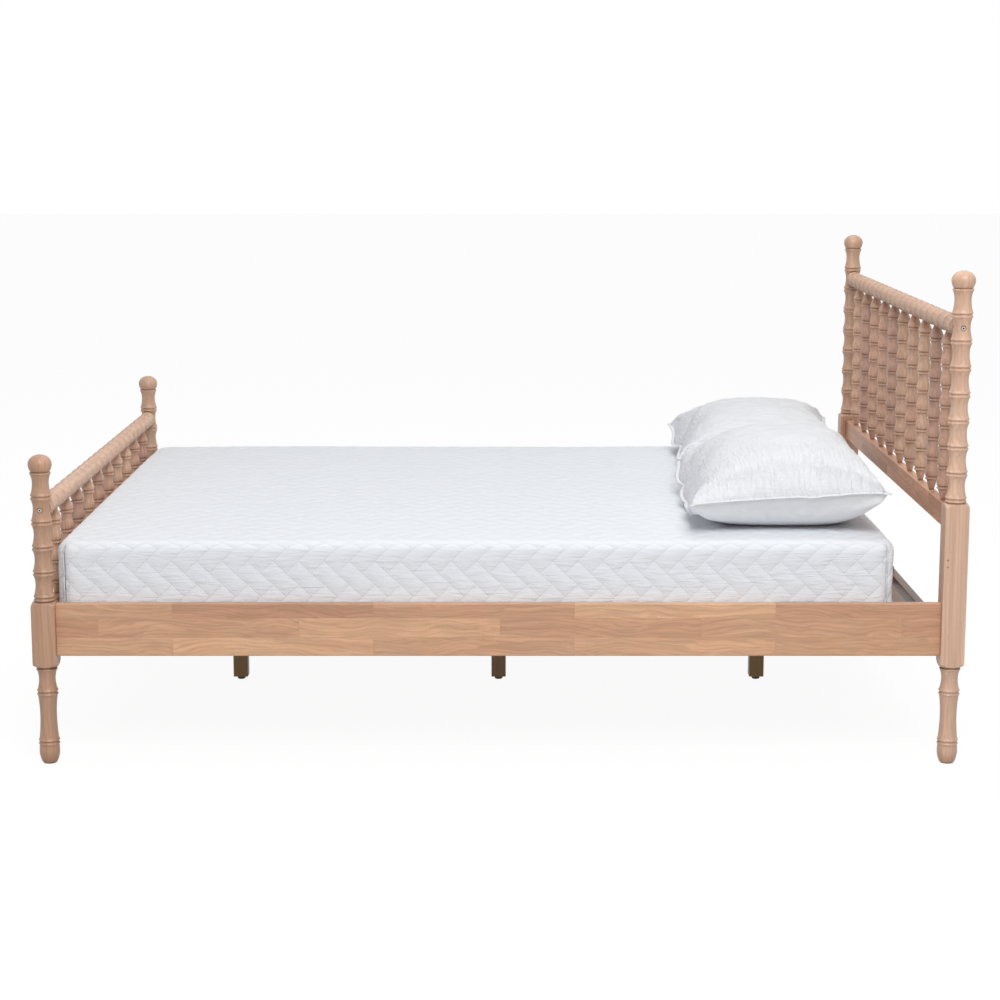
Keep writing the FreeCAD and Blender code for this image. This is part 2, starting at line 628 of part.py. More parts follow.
# a plate let into the rail's end, with two hooks that drop behind the slotted plate
hooked = doc.addObject("PartDesign::Body", "HookPlate")
pad(hooked, "Plate", rectangle(new_sketch(hooked, "YZ_Plane", "Outline", -cell("plate_thick")),
                               -half_w, half_w, -half_h, half_h), cell("plate_thick"))
reach, behind = cell("hook_reach"), cell("plate_thick") + cell("hook_gap")
tooth_low, ease = tooth_top - cell("hook_high"), cell("hook_ease")
root = tooth_low + cell("hook_root")
tooth = outline(new_sketch(hooked, "XZ_Plane", "HookOutline", cell("hook_thick") / -2), [
    (ZERO, tooth_top), (ZERO, root), (behind, root), (behind, tooth_low),
    (reach, tooth_low), (reach, tooth_top - ease), (reach - ease, tooth_top)])
hook = pad(hooked, "Hook", tooth, cell("hook_thick"))
repeat(hooked, "Hooks", [hook], "Z_Axis", cell("hook_pitch"), fixed(2), reverse=True)
place(hooked, HALF_X - BLOCK, SIDE_MID, PLATE_Z)
four_corners("rail_hook_plates", hooked)

# the four bolts that draw the top rails against the posts
bolts = []
for name, x_sign, rail_z in (("HeadBolt", 1.0, HEAD_RAIL_Z),
                             ("FootBolt", -1.0, FOOT_RAIL_Z)):
    bolt = doc.addObject("PartDesign::Body", name)
    # the sketch planes face -Y, out of the bed
    pad(bolt, "Head", polygon(new_sketch(bolt, "XZ_Plane", "HeadOutline", BOLT_SEAT),
                              cell("bolt_head_rad"), POST_SIDES),
        cell("bolt_head_high") - SOFT)
    pad(bolt, "Shank", polygon(new_sketch(bolt, "XZ_Plane", "ShankOutline", BOLT_SEAT),
                               cell("bolt_rad"), POST_SIDES), cell("bolt_long"), reverse=True)
    place(bolt, HALF_X * x_sign, -HALF_Y, rail_z)
    bolts += [bolt, mirror_image(name + "Far", bolt, ACROSS)]
grouped("top_rail_bolts", bolts)


# ---------------------------------------------------------------- mattress and pillows
def lofted(body, name, plane, stations):
    """A skin through closed outlines at the given offsets."""
    sketches = [outline(new_sketch(body, plane, "%s%d" % (name, k), offset), corners)
                for k, (offset, corners) in enumerate(stations)]
    loft = body.newObject("PartDesign::AdditiveLoft", name)
    loft.Profile = sketches[0]
    loft.Sections = sketches[1:]
    loft.Ruled = True
    return loft


def rounded(half_u, half_v, corner):
    """A rectangle with round corners, as an outline of lines and arcs."""
    c = corner * (1 - math.sqrt(0.5))
    u, v = half_u, half_v
    return [(u - corner, -v), (u, -v + corner, u - c, -v + c),
            (u, v - corner), (u - corner, v, u - c, v - c),
            (-u + corner, v), (-u, v - corner, -u + c, v - c),
            (-u, -v + corner), (-u + corner, -v, -u + c, -v + c)]


mattress = new_body("mattress")
half_long, half_wide = cell("mattress_long") / 2, cell("mattress_wide") / 2
bottom = SLAT_TOP + SOFT
depth = cell("mattress_top_z") - bottom
# the share of the mattress's depth and how far its side lies in there
MATTRESS_SIDE = ((0.0, 16.0), (0.10, 3.0), (0.26, 0.5), (0.55, 2.0), (0.80, 0.5),
                 (0.91, 7.0), (0.975, 24.0), (1.0, 62.0))
# how much tighter a corner gets for each millimetre that the side lies in
CORNER_TIGHTENING = 0.4
lofted(mattress, "Form", "XY_Plane", [
    (depth * share, rounded(half_long - inset, half_wide - inset,
                            cell("mattress_corner") - inset * CORNER_TIGHTENING))
    for share, inset in MATTRESS_SIDE])
place(mattress, cell("mattress_mid_x"), ZERO, bottom)


def bulged(start, end, rise, steps):
    """Corners from start to end, both left out, along a parabola that rises by rise."""
    corners = []
    for k in range(1, steps):
        t = k / steps
        corners.append((start[0] * (1 - t) + end[0] * t,
                        start[1] * (1 - t) + end[1] * t + rise * (4 * t * (1 - t))))
    return corners


PILLOW_STATIONS = (-1.0, -0.97, -0.89, -0.76, -0.58, -0.36, -0.12,
                   0.12, 0.36, 0.58, 0.76, 0.89, 0.97, 1.0)
# the powers that keep the crown full over the middle and steep at the two ends
CROWN_FULL, CROWN_STEEP = 2.6, 0.6
# how far out the belly reaches down to what the pillow lies on, against the crown, and the
# share of the width that lies on it
BELLY_REACH, BELLY_WIDE = 1.08, 0.42
CROWN_CHORDS = 12


def pillow(label, x, y, turn):
    """A plump pillow lying flat: crowned above and below the seam that runs right round it,
    its sides drawn in between the corners. The seam is higher at the head side."""
    body = new_body(label)
    half_long, lip = cell("pillow_long") / 2, cell("pillow_seam") / 2
    seam_z, tilt = cell("pillow_seam_z"), cell("pillow_tilt") / 2
    stations = []
    for share in PILLOW_STATIONS:
        full = (1 - abs(share) ** CROWN_FULL) ** CROWN_STEEP
        half = cell("pillow_wide") / 2 - cell("pillow_draw") * full
        # the belly is flat over the middle and rises to the seam at both ends
        belly = 1 - min(1.0, full * BELLY_REACH)
        rests = [(half * side, (seam_z + tilt * side - lip) * belly)
                 for side in (-BELLY_WIDE, BELLY_WIDE)]
        foot_top, head_top = (-half, seam_z - tilt + lip), (half, seam_z + tilt + lip)
        corners = [(-half, seam_z - tilt - lip)] + rests + [(half, seam_z + tilt - lip), head_top]
        corners += bulged(head_top, foot_top, cell("pillow_crown") * full, CROWN_CHORDS)
        stations.append((half_long * share, corners + [foot_top]))
    lofted(body, "Form", "XZ_Plane", stations)
    place(body, x, y, cell("mattress_top_z") + SOFT, turn=((0, 0, 1), turn))
    return body


pillow("pillow_right", cell("pillow_mid_x"), -cell("pillow_mid_y"), -1.7)
pillow("pillow_left", cell("pillow_mid_x") + cell("far_pillow_back"),
       cell("pillow_mid_y") - cell("far_pillow_in"), -2.6)


# ---------------------------------------------------------------- checks and files
# millimetres within which an edge counts as straight or a wall as flat, and the share by
# which a solid's volume may change when its warped walls become planes
TIGHT, VOLUME_SHARE = 1e-7, 0.005


def plain_walls(face):
    """The face itself, or a straight-edged wall that a loft left as a spline stated as a
    plane, or as two planes if its four corners are warped."""
    wire = face.OuterWire
    corners = [vertex.Point for vertex in wire.OrderedVertexes]
    straight = all(edge.Length < edge.Vertexes[0].Point.distanceToPoint(
        edge.Vertexes[-1].Point) + TIGHT for edge in wire.Edges)
    if face.Surface.TypeId != "Part::GeomBSplineSurface" or len(face.Wires) > 1 or not straight:
        return [face]
    plane = wire.findPlane()
    if plane and all(plane.projectPoint(c).distanceToPoint(c) < TIGHT for c in corners):
        loops = [corners]
    elif len(corners) == 4:
        loops = [corners[:3], corners[2:] + corners[:1]]
    else:
        return [face]
    return [Part.Face(Part.makePolygon(loop + loop[:1])) for loop in loops]


def with_plain_walls(solid):
    """The solid with its lofts' walls stated as planes."""
    shell = Part.Shell([wall for face in solid.Faces for wall in plain_walls(face)])
    shell.sewShape()
    rebuilt = Part.Solid(shell)
    if rebuilt.Volume < 0:
        rebuilt.reverse()
    if not rebuilt.isValid() or abs(rebuilt.Volume / solid.Volume - 1) > VOLUME_SHARE:
        raise RuntimeError("a solid changed when its walls were restated")
    return rebuilt


def main():
    doc.recompute()
    for obj in doc.Objects:
        if "Invalid" in obj.State or "Error" in obj.State:
            raise RuntimeError("%s failed to build: %s" % (obj.Label, obj.State))
    os.makedirs("parts", exist_ok=True)
    for part in parts:
        shape = part.Shape
        if shape.isNull() or not shape.isValid() or not shape.Solids:
            raise RuntimeError("%s has no valid solid" % part.Label)
        box = shape.BoundBox
        print("%-20s solids %d volume %10.0f  x %8.1f %8.1f  y %8.1f %8.1f  z %7.1f %7.1f" % (
            part.Label, len(shape.Solids), shape.Volume, box.XMin, box.XMax, box.YMin,
            box.YMax, box.ZMin, box.ZMax))
        solids = [with_plain_walls(solid) for solid in shape.Solids]
        written = solids[0] if len(solids) == 1 else Part.Compound(solids)
        written.exportStep(os.path.join("parts", part.Label + ".step"))


main()
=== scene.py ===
import math

import bmesh
import bpy
import numpy as np
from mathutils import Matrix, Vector, noise

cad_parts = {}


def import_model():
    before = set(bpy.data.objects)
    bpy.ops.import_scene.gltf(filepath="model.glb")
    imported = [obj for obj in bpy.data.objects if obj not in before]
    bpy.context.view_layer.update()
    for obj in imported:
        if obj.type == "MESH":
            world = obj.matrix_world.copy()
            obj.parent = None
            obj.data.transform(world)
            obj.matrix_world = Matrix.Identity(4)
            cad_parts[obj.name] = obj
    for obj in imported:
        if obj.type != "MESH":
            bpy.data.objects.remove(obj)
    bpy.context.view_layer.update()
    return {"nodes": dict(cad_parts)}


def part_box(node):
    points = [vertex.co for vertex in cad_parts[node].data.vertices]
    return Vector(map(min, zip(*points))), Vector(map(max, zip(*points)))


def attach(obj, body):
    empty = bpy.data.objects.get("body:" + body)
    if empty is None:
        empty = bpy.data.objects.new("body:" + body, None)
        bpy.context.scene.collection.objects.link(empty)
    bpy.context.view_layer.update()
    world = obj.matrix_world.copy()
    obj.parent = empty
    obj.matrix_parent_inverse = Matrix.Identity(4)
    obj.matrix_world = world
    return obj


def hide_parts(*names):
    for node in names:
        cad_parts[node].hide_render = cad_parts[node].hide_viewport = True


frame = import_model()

# Spindle bed in pale wood, made up with a white quilted coverlet and two pillows.
# Metres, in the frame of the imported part: head at +X, floor at Z = 0.
MM = 0.001
POST_X, POST_Y = 1038.5 * MM, 775 * MM


def centre(node):
    low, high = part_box(node)
    return (Vector(low) + Vector(high)) / 2


# ---------------------------------------------------------------- node helper
class Graph:
    """A material's node tree; add() makes a node and links or sets its inputs."""

    def __init__(self, name):
        self.material = bpy.data.materials.new(name)
        self.material.use_nodes = True
        self.tree = self.material.node_tree
        self.shader = self.tree.nodes["Principled BSDF"]

    def add(self, kind, inputs=None, **settings):
        node = self.tree.nodes.new("ShaderNode" + kind)
        for key, value in settings.items():
            setattr(node, key, value)
        for key, value in (inputs or {}).items():
            self.put(node.inputs[key], value)
        return node

    def put(self, socket, value):
        if isinstance(value, bpy.types.NodeSocket):
            self.tree.links.new(value, socket)
        else:
            socket.default_value = value

    def math(self, operation, *values):
        node = self.add("Math", {k: v for k, v in enumerate(values)}, operation=operation)
        return node.outputs[0]

    def mix(self, factor, a, b, blend="MIX"):
        node = self.add("Mix", data_type="RGBA", blend_type=blend)
        for key, value in ((0, factor), (6, a), (7, b)):
            self.put(node.inputs[key], value)
        return node.outputs[2]

    def noise(self, vector, scale, detail=3.0, distortion=0.0, roughness=0.5):
        return self.add("TexNoise", {"Vector": vector, "Scale": scale, "Detail": detail,
                                     "Distortion": distortion, "Roughness": roughness}).outputs[0]

    def scaled(self, vector, factors, shift=(0, 0, 0)):
        return self.add("Mapping", {"Vector": vector, "Scale": factors,
                                    "Location": shift}).outputs[0]

    def ramp(self, value, low, high):
        """0 below low, 1 above high, smooth between."""
        node = self.add("MapRange", {"Value": value, "From Min": low, "From Max": high},
                        interpolation_type="SMOOTHSTEP")
        return node.outputs[0]

    def bump(self, height, strength, distance, under=None):
        inputs = {"Height": height, "Strength": strength, "Distance": distance}
        if under is not None:
            inputs["Normal"] = under
        return self.add("Bump", inputs).outputs[0]


def shade(colour, factor):
    return tuple(channel * factor for channel in colour[:3]) + (1.0,)


# ---------------------------------------------------------------- materials
STAVE_STAGGER, STAVE_JOINT = 0.37, 0.3 * MM
STAVE_SHIFT = (3.1, 1.7, 2.3)
STAVE_DARK, STAVE_LIGHT = (0.80, 0.71, 0.69, 1), (1.14, 1.15, 1.08, 1)
GRAIN_SWEEP = (0.07, 0.07, 0.07)
RUDDY = (0.72, 0.30, 0.16, 1.0)
RING_STAIN = (0.72, 0.60, 0.56)
# how far around a groove is looked at, and how dark the painted shade in it is
GROOVE_PAINTED_SHADE = ((7 * MM, 0.52), (45 * MM, 0.82))


def staved(g, place, long, seed, plank):
    """Boards glued up from staves: the bricks' random value, and a grain that is moved
    from stave to stave and sweeps along each. plank is (length, height, shift in height)."""
    order = g.add("SeparateXYZ", {0: place})
    flat = g.add("CombineXYZ", {0: order.outputs[long], 1: order.outputs[2]})
    staves = g.add("TexBrick", {
        "Vector": g.scaled(flat.outputs[0], (1, 1, 1), (seed * 0.13, plank[2], 0)),
        "Color1": (0, 0, 0, 1), "Color2": (1, 1, 1, 1), "Mortar": (0, 0, 0, 1),
        "Scale": 1.0, "Mortar Size": STAVE_JOINT, "Mortar Smooth": 0.5, "Bias": 0.0,
        "Brick Width": plank[0], "Row Height": plank[1]}, offset=STAVE_STAGGER, squash=1.0)
    place = g.add("VectorMath", {0: staves.outputs[0], 1: STAVE_SHIFT, 2: place},
                  operation="MULTIPLY_ADD").outputs[0]
    sweep = g.add("TexNoise", {"Vector": g.scaled(place, (4, 4, 9)), "Scale": 1.0,
                               "Detail": 2.0}).outputs[1]
    place = g.add("VectorMath", {0: sweep, 1: GRAIN_SWEEP, 2: place},
                  operation="MULTIPLY_ADD").outputs[0]
    return staves, place


def wood(name, tone, axis, seed=0.0, plank=None, roughness=0.46, contrast=1.0, turned=False):
    """Open-pored pale hardwood: growth rings and streaks along axis, short pores, soft
    clouding and, on boards with a plank size, staves with a tone and grain of their own."""
    g = Graph(name)
    place = g.add("TexCoord").outputs["Object"]
    long = "XYZ".index(axis)
    if plank:
        staves, place = staved(g, place, long, seed, plank)

    def along(lengthwise, across):
        factors = [across] * 3
        factors[long] = lengthwise
        return g.scaled(place, factors, (seed, seed * 1.7, seed * 0.6))

    streaks = g.noise(along(2.6, 70.0), 1.0, 5.0, 0.6, 0.6)
    pores = g.noise(along(42.0, 850.0), 1.0, 2.0)
    clouds = g.noise(g.scaled(place, (1, 1, 1), (seed * 3.1, seed, 0)), 6.0, 3.0, 0.8)
    rings = g.add("TexWave", {"Vector": along(1.6, 66.0), "Scale": 1.0, "Distortion": 8.0,
                              "Detail": 3.0, "Detail Scale": 0.8},
                  bands_direction="DIAGONAL").outputs["Fac"]
    spread = 0.17 * contrast
    colour = g.mix(g.ramp(streaks, 0.28, 0.74), shade(tone, 1 - spread),
                   shade(tone, 1 + spread * 0.8))
    colour = g.mix(g.ramp(clouds, 0.3, 0.75), colour, g.mix(0.14 * contrast, colour, RUDDY))
    stained = shade([channel * stain for channel, stain in zip(tone, RING_STAIN)], 1.0)
    colour = g.mix(g.math("MULTIPLY", g.ramp(rings, 0.66, 0.98), 0.32 * contrast), colour,
                   stained)
    if plank:
        tint = g.mix(staves.outputs[0], STAVE_DARK, STAVE_LIGHT)
        colour = g.mix(0.9, colour, tint, "MULTIPLY")
        joint = g.math("MULTIPLY", staves.outputs[1], 0.45)
        colour = g.mix(joint, colour, shade(tone, 0.6))
    fine = g.ramp(pores, 0.60, 0.72)
    colour = g.mix(g.math("MULTIPLY", fine, 0.30 * contrast), colour, shade(tone, 0.5))
    if turned:
        # painted shade: grooves and the drawn-in bays are darkened more than the lips, the more
        # closed in they are
        for reach, depth in GROOVE_PAINTED_SHADE:
            open_sky = g.add("AmbientOcclusion", {"Distance": reach}, samples=6).outputs[1]
            dark = (depth, depth * 0.93, depth * 0.88, 1.0)
            colour = g.mix(g.ramp(open_sky, 0.45, 0.97),
                           g.mix(1.0, colour, dark, "MULTIPLY"), colour)
    g.put(g.shader.inputs["Base Color"], colour)
    g.put(g.shader.inputs["Roughness"],
          g.math("ADD", g.math("MULTIPLY", streaks, 0.14), roughness - 0.07))
    g.shader.inputs["IOR"].default_value = 1.48
    g.shader.inputs["Coat Weight"].default_value = 0.25 if turned else 0.1
    g.shader.inputs["Coat Roughness"].default_value = 0.28
    relief = g.math("SUBTRACT", g.math("MULTIPLY", streaks, 0.35), fine)
    g.put(g.shader.inputs["Normal"], g.bump(relief, 0.22, 0.6 * MM))
    return g.material


def woven(g, place, colour, height, relief, roughness=0.9, sheen=0.15, weave=1500.0,
          thread=0.2):
    """Finishes a cloth: its colour, a dull sheen, and the bump of its threads over that of
    height. relief is (strength, distance)."""
    g.put(g.shader.inputs["Base Color"], colour)
    g.shader.inputs["Roughness"].default_value = roughness
    g.shader.inputs["Sheen Weight"].default_value = sheen
    under = g.bump(height, *relief)
    threads = g.noise(place, weave, 2.0)
    g.put(g.shader.inputs["Normal"], g.bump(threads, thread, 0.4 * MM, under))
    return g.material


def plain_fabric(name, tone):
    """Smooth cotton: a fine weave and faint creases."""
    g = Graph(name)
    place = g.add("TexCoord").outputs["Object"]
    creases = g.noise(place, 26.0, 5.0, 1.2)
    # painted shade: the crease hollows are coloured a little darker
    colour = g.mix(g.ramp(creases, 0.3, 0.7), shade(tone, 0.965), shade(tone, 1.0))
    return woven(g, place, colour, creases, (0.35, 4 * MM))


def crinkled_fabric(name, tone):
    """Washed cotton sham, puckered by its rows of stitching: fine ripples along X over
    the top, and upright crinkles where the near end turns down."""
    g = Graph(name)
    place = g.add("TexCoord").outputs["Object"]
    across = g.add("SeparateXYZ", {0: place}).outputs[1]
    ripples = g.noise(g.scaled(place, (13.0, 75.0, 105.0)), 1.0, 4.0, 0.9, 0.55)
    upright = g.noise(g.scaled(place, (115.0, 24.0, 34.0)), 1.0, 4.0, 1.1, 0.58)
    # 1 at the pillow's near end, 0 past its middle, with an uneven border
    wander = g.math("MULTIPLY", g.noise(place, 7.0, 2.0), 0.24)
    near = g.math("MULTIPLY", g.ramp(g.math("ADD", across, wander), -0.26, -0.52), 0.75)
    folds = g.add("Mix", {0: near, 2: ripples, 3: upright}, data_type="FLOAT").outputs[0]
    lumps = g.math("MULTIPLY", g.noise(place, 16.0, 3.0, 0.8), 0.8)
    height = g.math("ADD", g.ramp(folds, 0.25, 0.75), lumps)
    # painted shade: the hollows of the ripples and crinkles are coloured a little darker
    colour = g.mix(g.ramp(folds, 0.25, 0.6), shade(tone, 0.965), shade(tone, 1.0))
    return woven(g, place, colour, height, (0.65, 5 * MM), 0.88, 0.1, 1400.0)


QUILT_WIDE, QUILT_SHIFT = 40.6 * MM, 3 * MM


def quilted_fabric(name, tone):
    """Coverlet stitched in a herringbone of blocks twice as long as they are wide. The UV
    map is in block widths, turned by 45 degrees, so the stitch lines follow its grid."""
    g = Graph(name)
    place = g.add("TexCoord").outputs["Object"]
    axes = g.add("SeparateXYZ", {0: g.add("UVMap", uv_map="quilt").outputs[0]})
    a, b = axes.outputs[0], axes.outputs[1]
    whole_a, whole_b = g.math("FLOOR", a), g.math("FLOOR", b)
    part_a, part_b = g.math("FRACT", a), g.math("FRACT", b)
    turn = g.math("FLOORED_MODULO", g.math("SUBTRACT", whole_a, whole_b), 4.0)
    # a block is two cells: cells 0 and 1 lie side by side, cells 2 and 3 one above another
    edges = []
    for part, cell, flip in ((part_a, 1, False), (part_a, 0, True),
                             (part_b, 2, False), (part_b, 3, True)):
        distance = g.math("SUBTRACT", 1.0, part) if flip else part
        same = g.math("COMPARE", turn, float(cell), 0.25)
        edges.append(g.math("ADD", distance, same))
    nearest = g.math("MINIMUM", g.math("MINIMUM", edges[0], edges[1]),
                     g.math("MINIMUM", edges[2], edges[3]))
    puff = g.ramp(nearest, 0.0, 0.34)
    stitch = g.ramp(nearest, 0.0, 0.05)
    ripples = g.noise(g.scaled(place, (17.0, 50.0, 120.0)), 1.0, 4.0, 0.9)
    colour = g.mix(stitch, shade(tone, 0.94), shade(tone, 1.0))
    # painted shade: the slits at the foot corners are coloured nearly black from their mouth
    # inwards
    tuck_and_painted_shade = g.ramp(g.add("Attribute", attribute_name="tuck_and_painted_shade").outputs["Fac"], 0.01, 0.15)
    colour = g.mix(tuck_and_painted_shade, colour, shade(tone, 0.06))
    height = g.math("ADD", g.math("MULTIPLY", puff, 0.40), g.math("MULTIPLY", stitch, 0.22))
    height = g.math("ADD", height, g.math("MULTIPLY", ripples, 1.1))
    return woven(g, place, colour, height, (0.65, 3.8 * MM), thread=0.15)


def metal(name, tone, roughness):
    g = Graph(name)
    place = g.add("TexCoord").outputs["Object"]
    scratches = g.noise(g.scaled(place, (90.0, 900.0, 900.0)), 1.0, 3.0)
    g.put(g.shader.inputs["Base Color"],
          g.mix(scratches, shade(tone, 0.8), shade(tone, 1.1)))
    g.shader.inputs["Metallic"].default_value = 1.0
    g.put(g.shader.inputs["Roughness"],
          g.math("ADD", g.math("MULTIPLY", scratches, 0.2), roughness - 0.1))
    return g.material


def plastic(name, tone):
    g = Graph(name)
    grain = g.noise(g.add("TexCoord").outputs["Object"], 900.0, 3.0)
    g.put(g.shader.inputs["Base Color"], g.mix(grain, shade(tone, 0.7), shade(tone, 1.4)))
    g.put(g.shader.inputs["Roughness"],
          g.math("ADD", g.math("MULTIPLY", grain, 0.2), 0.4))
    g.put(g.shader.inputs["Normal"], g.bump(grain, 0.3, 0.3 * MM))
    return g.material


POST_TONES = {"head_post_right": (0.745, 0.492, 0.352), "head_post_left": (0.63, 0.40, 0.275),
              "foot_post_right": (0.53, 0.32, 0.21), "foot_post_left": (0.60, 0.385, 0.265)}
TURNED_TONES = [(0.65, 0.403, 0.285), (0.70, 0.455, 0.318), (0.57, 0.348, 0.258)]
RAIL_TONE = (0.69, 0.422, 0.27)
post_woods = {label: wood(label + "_wood", tone, "Z", 3.1 * k, contrast=0.9, turned=True)
              for k, (label, tone) in enumerate(POST_TONES.items())}
spindle_woods = [wood("spindle_wood_%d" % k, tone, "Z", 5.3 * k, contrast=1.1, turned=True)
                 for k, tone in enumerate(TURNED_TONES)]
top_woods = {end: wood(end + "_top_rail_wood", tone, "Y", 1.7, contrast=0.9, turned=True)
             for end, tone in (("head", (0.60, 0.385, 0.272)), ("foot", (0.67, 0.44, 0.315)))}
side_wood = wood("side_rail_wood", RAIL_TONE, "X", 2.2, plank=(0.46, 0.045, -0.0283),
                 contrast=1.1)
head_rail_wood = wood("head_lower_rail_wood", (0.125, 0.078, 0.052), "Y", 3.9, contrast=0.8)
cross_wood = wood("cross_rail_wood", RAIL_TONE, "Y", 6.4, plank=(0.38, 0.045, -0.0283))
panel_wood = wood("panel_rail_wood", (0.72, 0.395, 0.25), "Y", 9.1,
                  plank=(0.41, 0.0285, 0.003), contrast=1.1)
slat_wood = wood("slat_wood", (0.17, 0.108, 0.066), "Y", 4.4)
beam_wood = wood("beam_wood", (0.19, 0.122, 0.072), "X", 7.7)
dark_plug = wood("plug_wood", (0.30, 0.18, 0.12), "Y", 1.1)
leg_wood = wood("centre_leg_wood", (0.40, 0.245, 0.10), "Z", 8.8, contrast=0.7)
coverlet_fabric = quilted_fabric("coverlet_fabric", (0.835, 0.858, 0.90))
sham_fabric = crinkled_fabric("sham_fabric", (0.84, 0.853, 0.886))
lining_fabric = plain_fabric("lining_fabric", (0.93, 0.94, 0.955))
steel = metal("fitting_steel", (0.50, 0.49, 0.47), 0.4)
bolt_steel = metal("bolt_steel", (0.72, 0.65, 0.56), 0.4)
# the bolts' sockets are coloured near black: a painted shadow
painted_socket_shadow = metal("socket_shadow", (0.05, 0.05, 0.05), 0.6)
black_plastic = plastic("glide_plastic", (0.018, 0.018, 0.018))


# ---------------------------------------------------------------- mesh helpers
def mesh_object(name, points, faces, materials, sharp=None):
    mesh = bpy.data.meshes.new(name)
    mesh.from_pydata([tuple(p) for p in points], [], faces)
    mesh.update()
    obj = bpy.data.objects.new(name, mesh)
    bpy.context.scene.collection.objects.link(obj)
    for material in materials:
        mesh.materials.append(material)
    mesh.shade_smooth()
    if sharp is not None:
        mesh.set_sharp_from_angle(angle=math.radians(sharp))
    return obj


def lathe(name, profile, materials, angles, origin, along="Z", limit=None, sharp=40):
    """Turns the profile, a list of (radius, height), about an axis through origin.
    limit(angle), if given, is the greatest radius there, which squares a block."""
    points, faces = [], []
    count = len(angles)
    for radius, height in profile:
        for angle in angles:
            r = min(radius, limit(angle)) if limit else radius
            a, b = r * math.cos(angle), r * math.sin(angle)
            points.append((a, b, height) if along == "Z" else (b, height, a))
    for row in range(len(profile) - 1):
        for k in range(count):
            n = (k + 1) % count
            faces.append((row * count + k, row * count + n,
                          (row + 1) * count + n, (row + 1) * count + k))
    for row, step in ((0, -1), (len(profile) - 1, 1)):
        ring = list(range(row * count, (row + 1) * count))
        points.append((0, 0, profile[row][1]) if along == "Z" else (0, profile[row][1], 0))
        middle = len(points) - 1
        for k in range(count):
            n = (k + 1) % count
            faces.append((ring[k], ring[n], middle)[::step])
    moved = [Vector(p) + Vector(origin) for p in points]
    return mesh_object(name, moved, faces, materials, sharp)


def round_angles(count):
    return [2 * math.pi * k / count for k in range(count)]


# how far a ring's surface stands in from its lips, by the distance from its middle (mm)
RING_SHAPE = ((0.0, 2.6), (0.9, 2.4), (2.2, 1.2), (3.4, 0.25), (4.6, 0.0), (5.6, 0.45),
              (6.6, 1.2), (8.0, 1.9))


def ring(z, lip, long=1.0, deep=1.0):
    """Two rounded lips with a groove between them, RING_SHAPE times long and deep."""
    rows = [(lip - drop * deep * MM, away * long * MM) for away, drop in RING_SHAPE]
    return [(r, z - d) for r, d in reversed(rows)] + [(r, z + d) for r, d in rows[1:]]


# the spindles' ring, from below: a lip, a groove and the foot of the bay above it (mm)
LIP_SHAPE = ((-7.2, 3.6), (-6.2, 1.3), (-5.2, 0.2), (-3.9, 0.0), (-2.6, 0.5), (-1.5, 2.4),
             (-0.3, 3.0), (0.9, 2.4), (2.0, 0.9), (3.4, 0.3), (5.5, 0.05), (8.0, 0.0))


def vase(low, high, foot, neck, mouth, narrow=0.76, steps=14):
    """A bay that is full at its foot, draws in to its neck and opens to its mouth."""
    rows = []
    for k in range(1, steps):
        t = k / steps
        if t < narrow:
            r = neck + (foot - neck) * (0.5 + 0.5 * math.cos(math.pi * t / narrow))
        else:
            r = neck + (mouth - neck) * ((t - narrow) / (1 - narrow)) ** 2
        rows.append((r, low + (high - low) * t))
    return rows


def waist(low, high, edge, middle, lean=0.5, steps=12):
    """A stretch drawn in between two rings, narrowest at the share lean of its height."""
    rows = []
    for k in range(1, steps):
        t = k / steps
        away = (lean - t) / lean if t < lean else (t - lean) / (1 - lean)
        rows.append((middle + (edge - middle) * away ** 2, low + (high - low) * t))
    return rows


# ---------------------------------------------------------------- posts
LIP, WAIST, CORE = 24.25 * MM, 18.9 * MM, 22.5 * MM
RING_REACH, RING_EDGE = 8 * MM, LIP - 1.9 * MM
BLOCK, BLOCK_CORNER = 27 * MM, 37.7 * MM
BLOCK_BASE, SHOULDER = 241 * MM, 13 * MM
TOE_TIP, TOE_SWELL, TOE_HIGH = 15 * MM, 23.4 * MM, 30 * MM
TOE_RING, KNEE_RING, COLLAR_RING = 51 * MM, 168.5 * MM, 227.5 * MM
LEG_WAIST = 19.0 * MM
BALL, BALL_BELOW, BALL_ABOVE = 27 * MM, 28 * MM, 22 * MM
BALL_NECK, BALL_RISE = 17.7 * MM, 16.5 * MM
# the lowest ring over the block, the pitch of the rings and the number of bays
POST_RINGS = {"head": (617.9 * MM, 59.9 * MM, 8), "foot": (389.8 * MM, 58.5 * MM, 5)}
corner_angle = math.acos(BLOCK / BLOCK_CORNER)
octant = [corner_angle * k / 7 for k in range(8)]
quadrant = octant + [math.pi / 2 - a for a in reversed(octant[1:])]
POST_ANGLES = [q * math.pi / 2 + a for q in range(4) for a in quadrant]


def square_limit(angle):
    return min(BLOCK / max(abs(math.cos(angle)), abs(math.sin(angle))), BLOCK_CORNER)


def shoulder(low, high, rising):
    """Radii from the round core out to the block's corners, or back."""
    rows = []
    for k in range(9):
        t = k / 8
        reach = CORE + (BLOCK_CORNER + MM - CORE) * math.sin(math.pi / 2 * t) ** 0.75
        rows.append((reach, low + (high - low) * t))
    return rows if rising else [(r, low + high - z) for r, z in reversed(rows)]


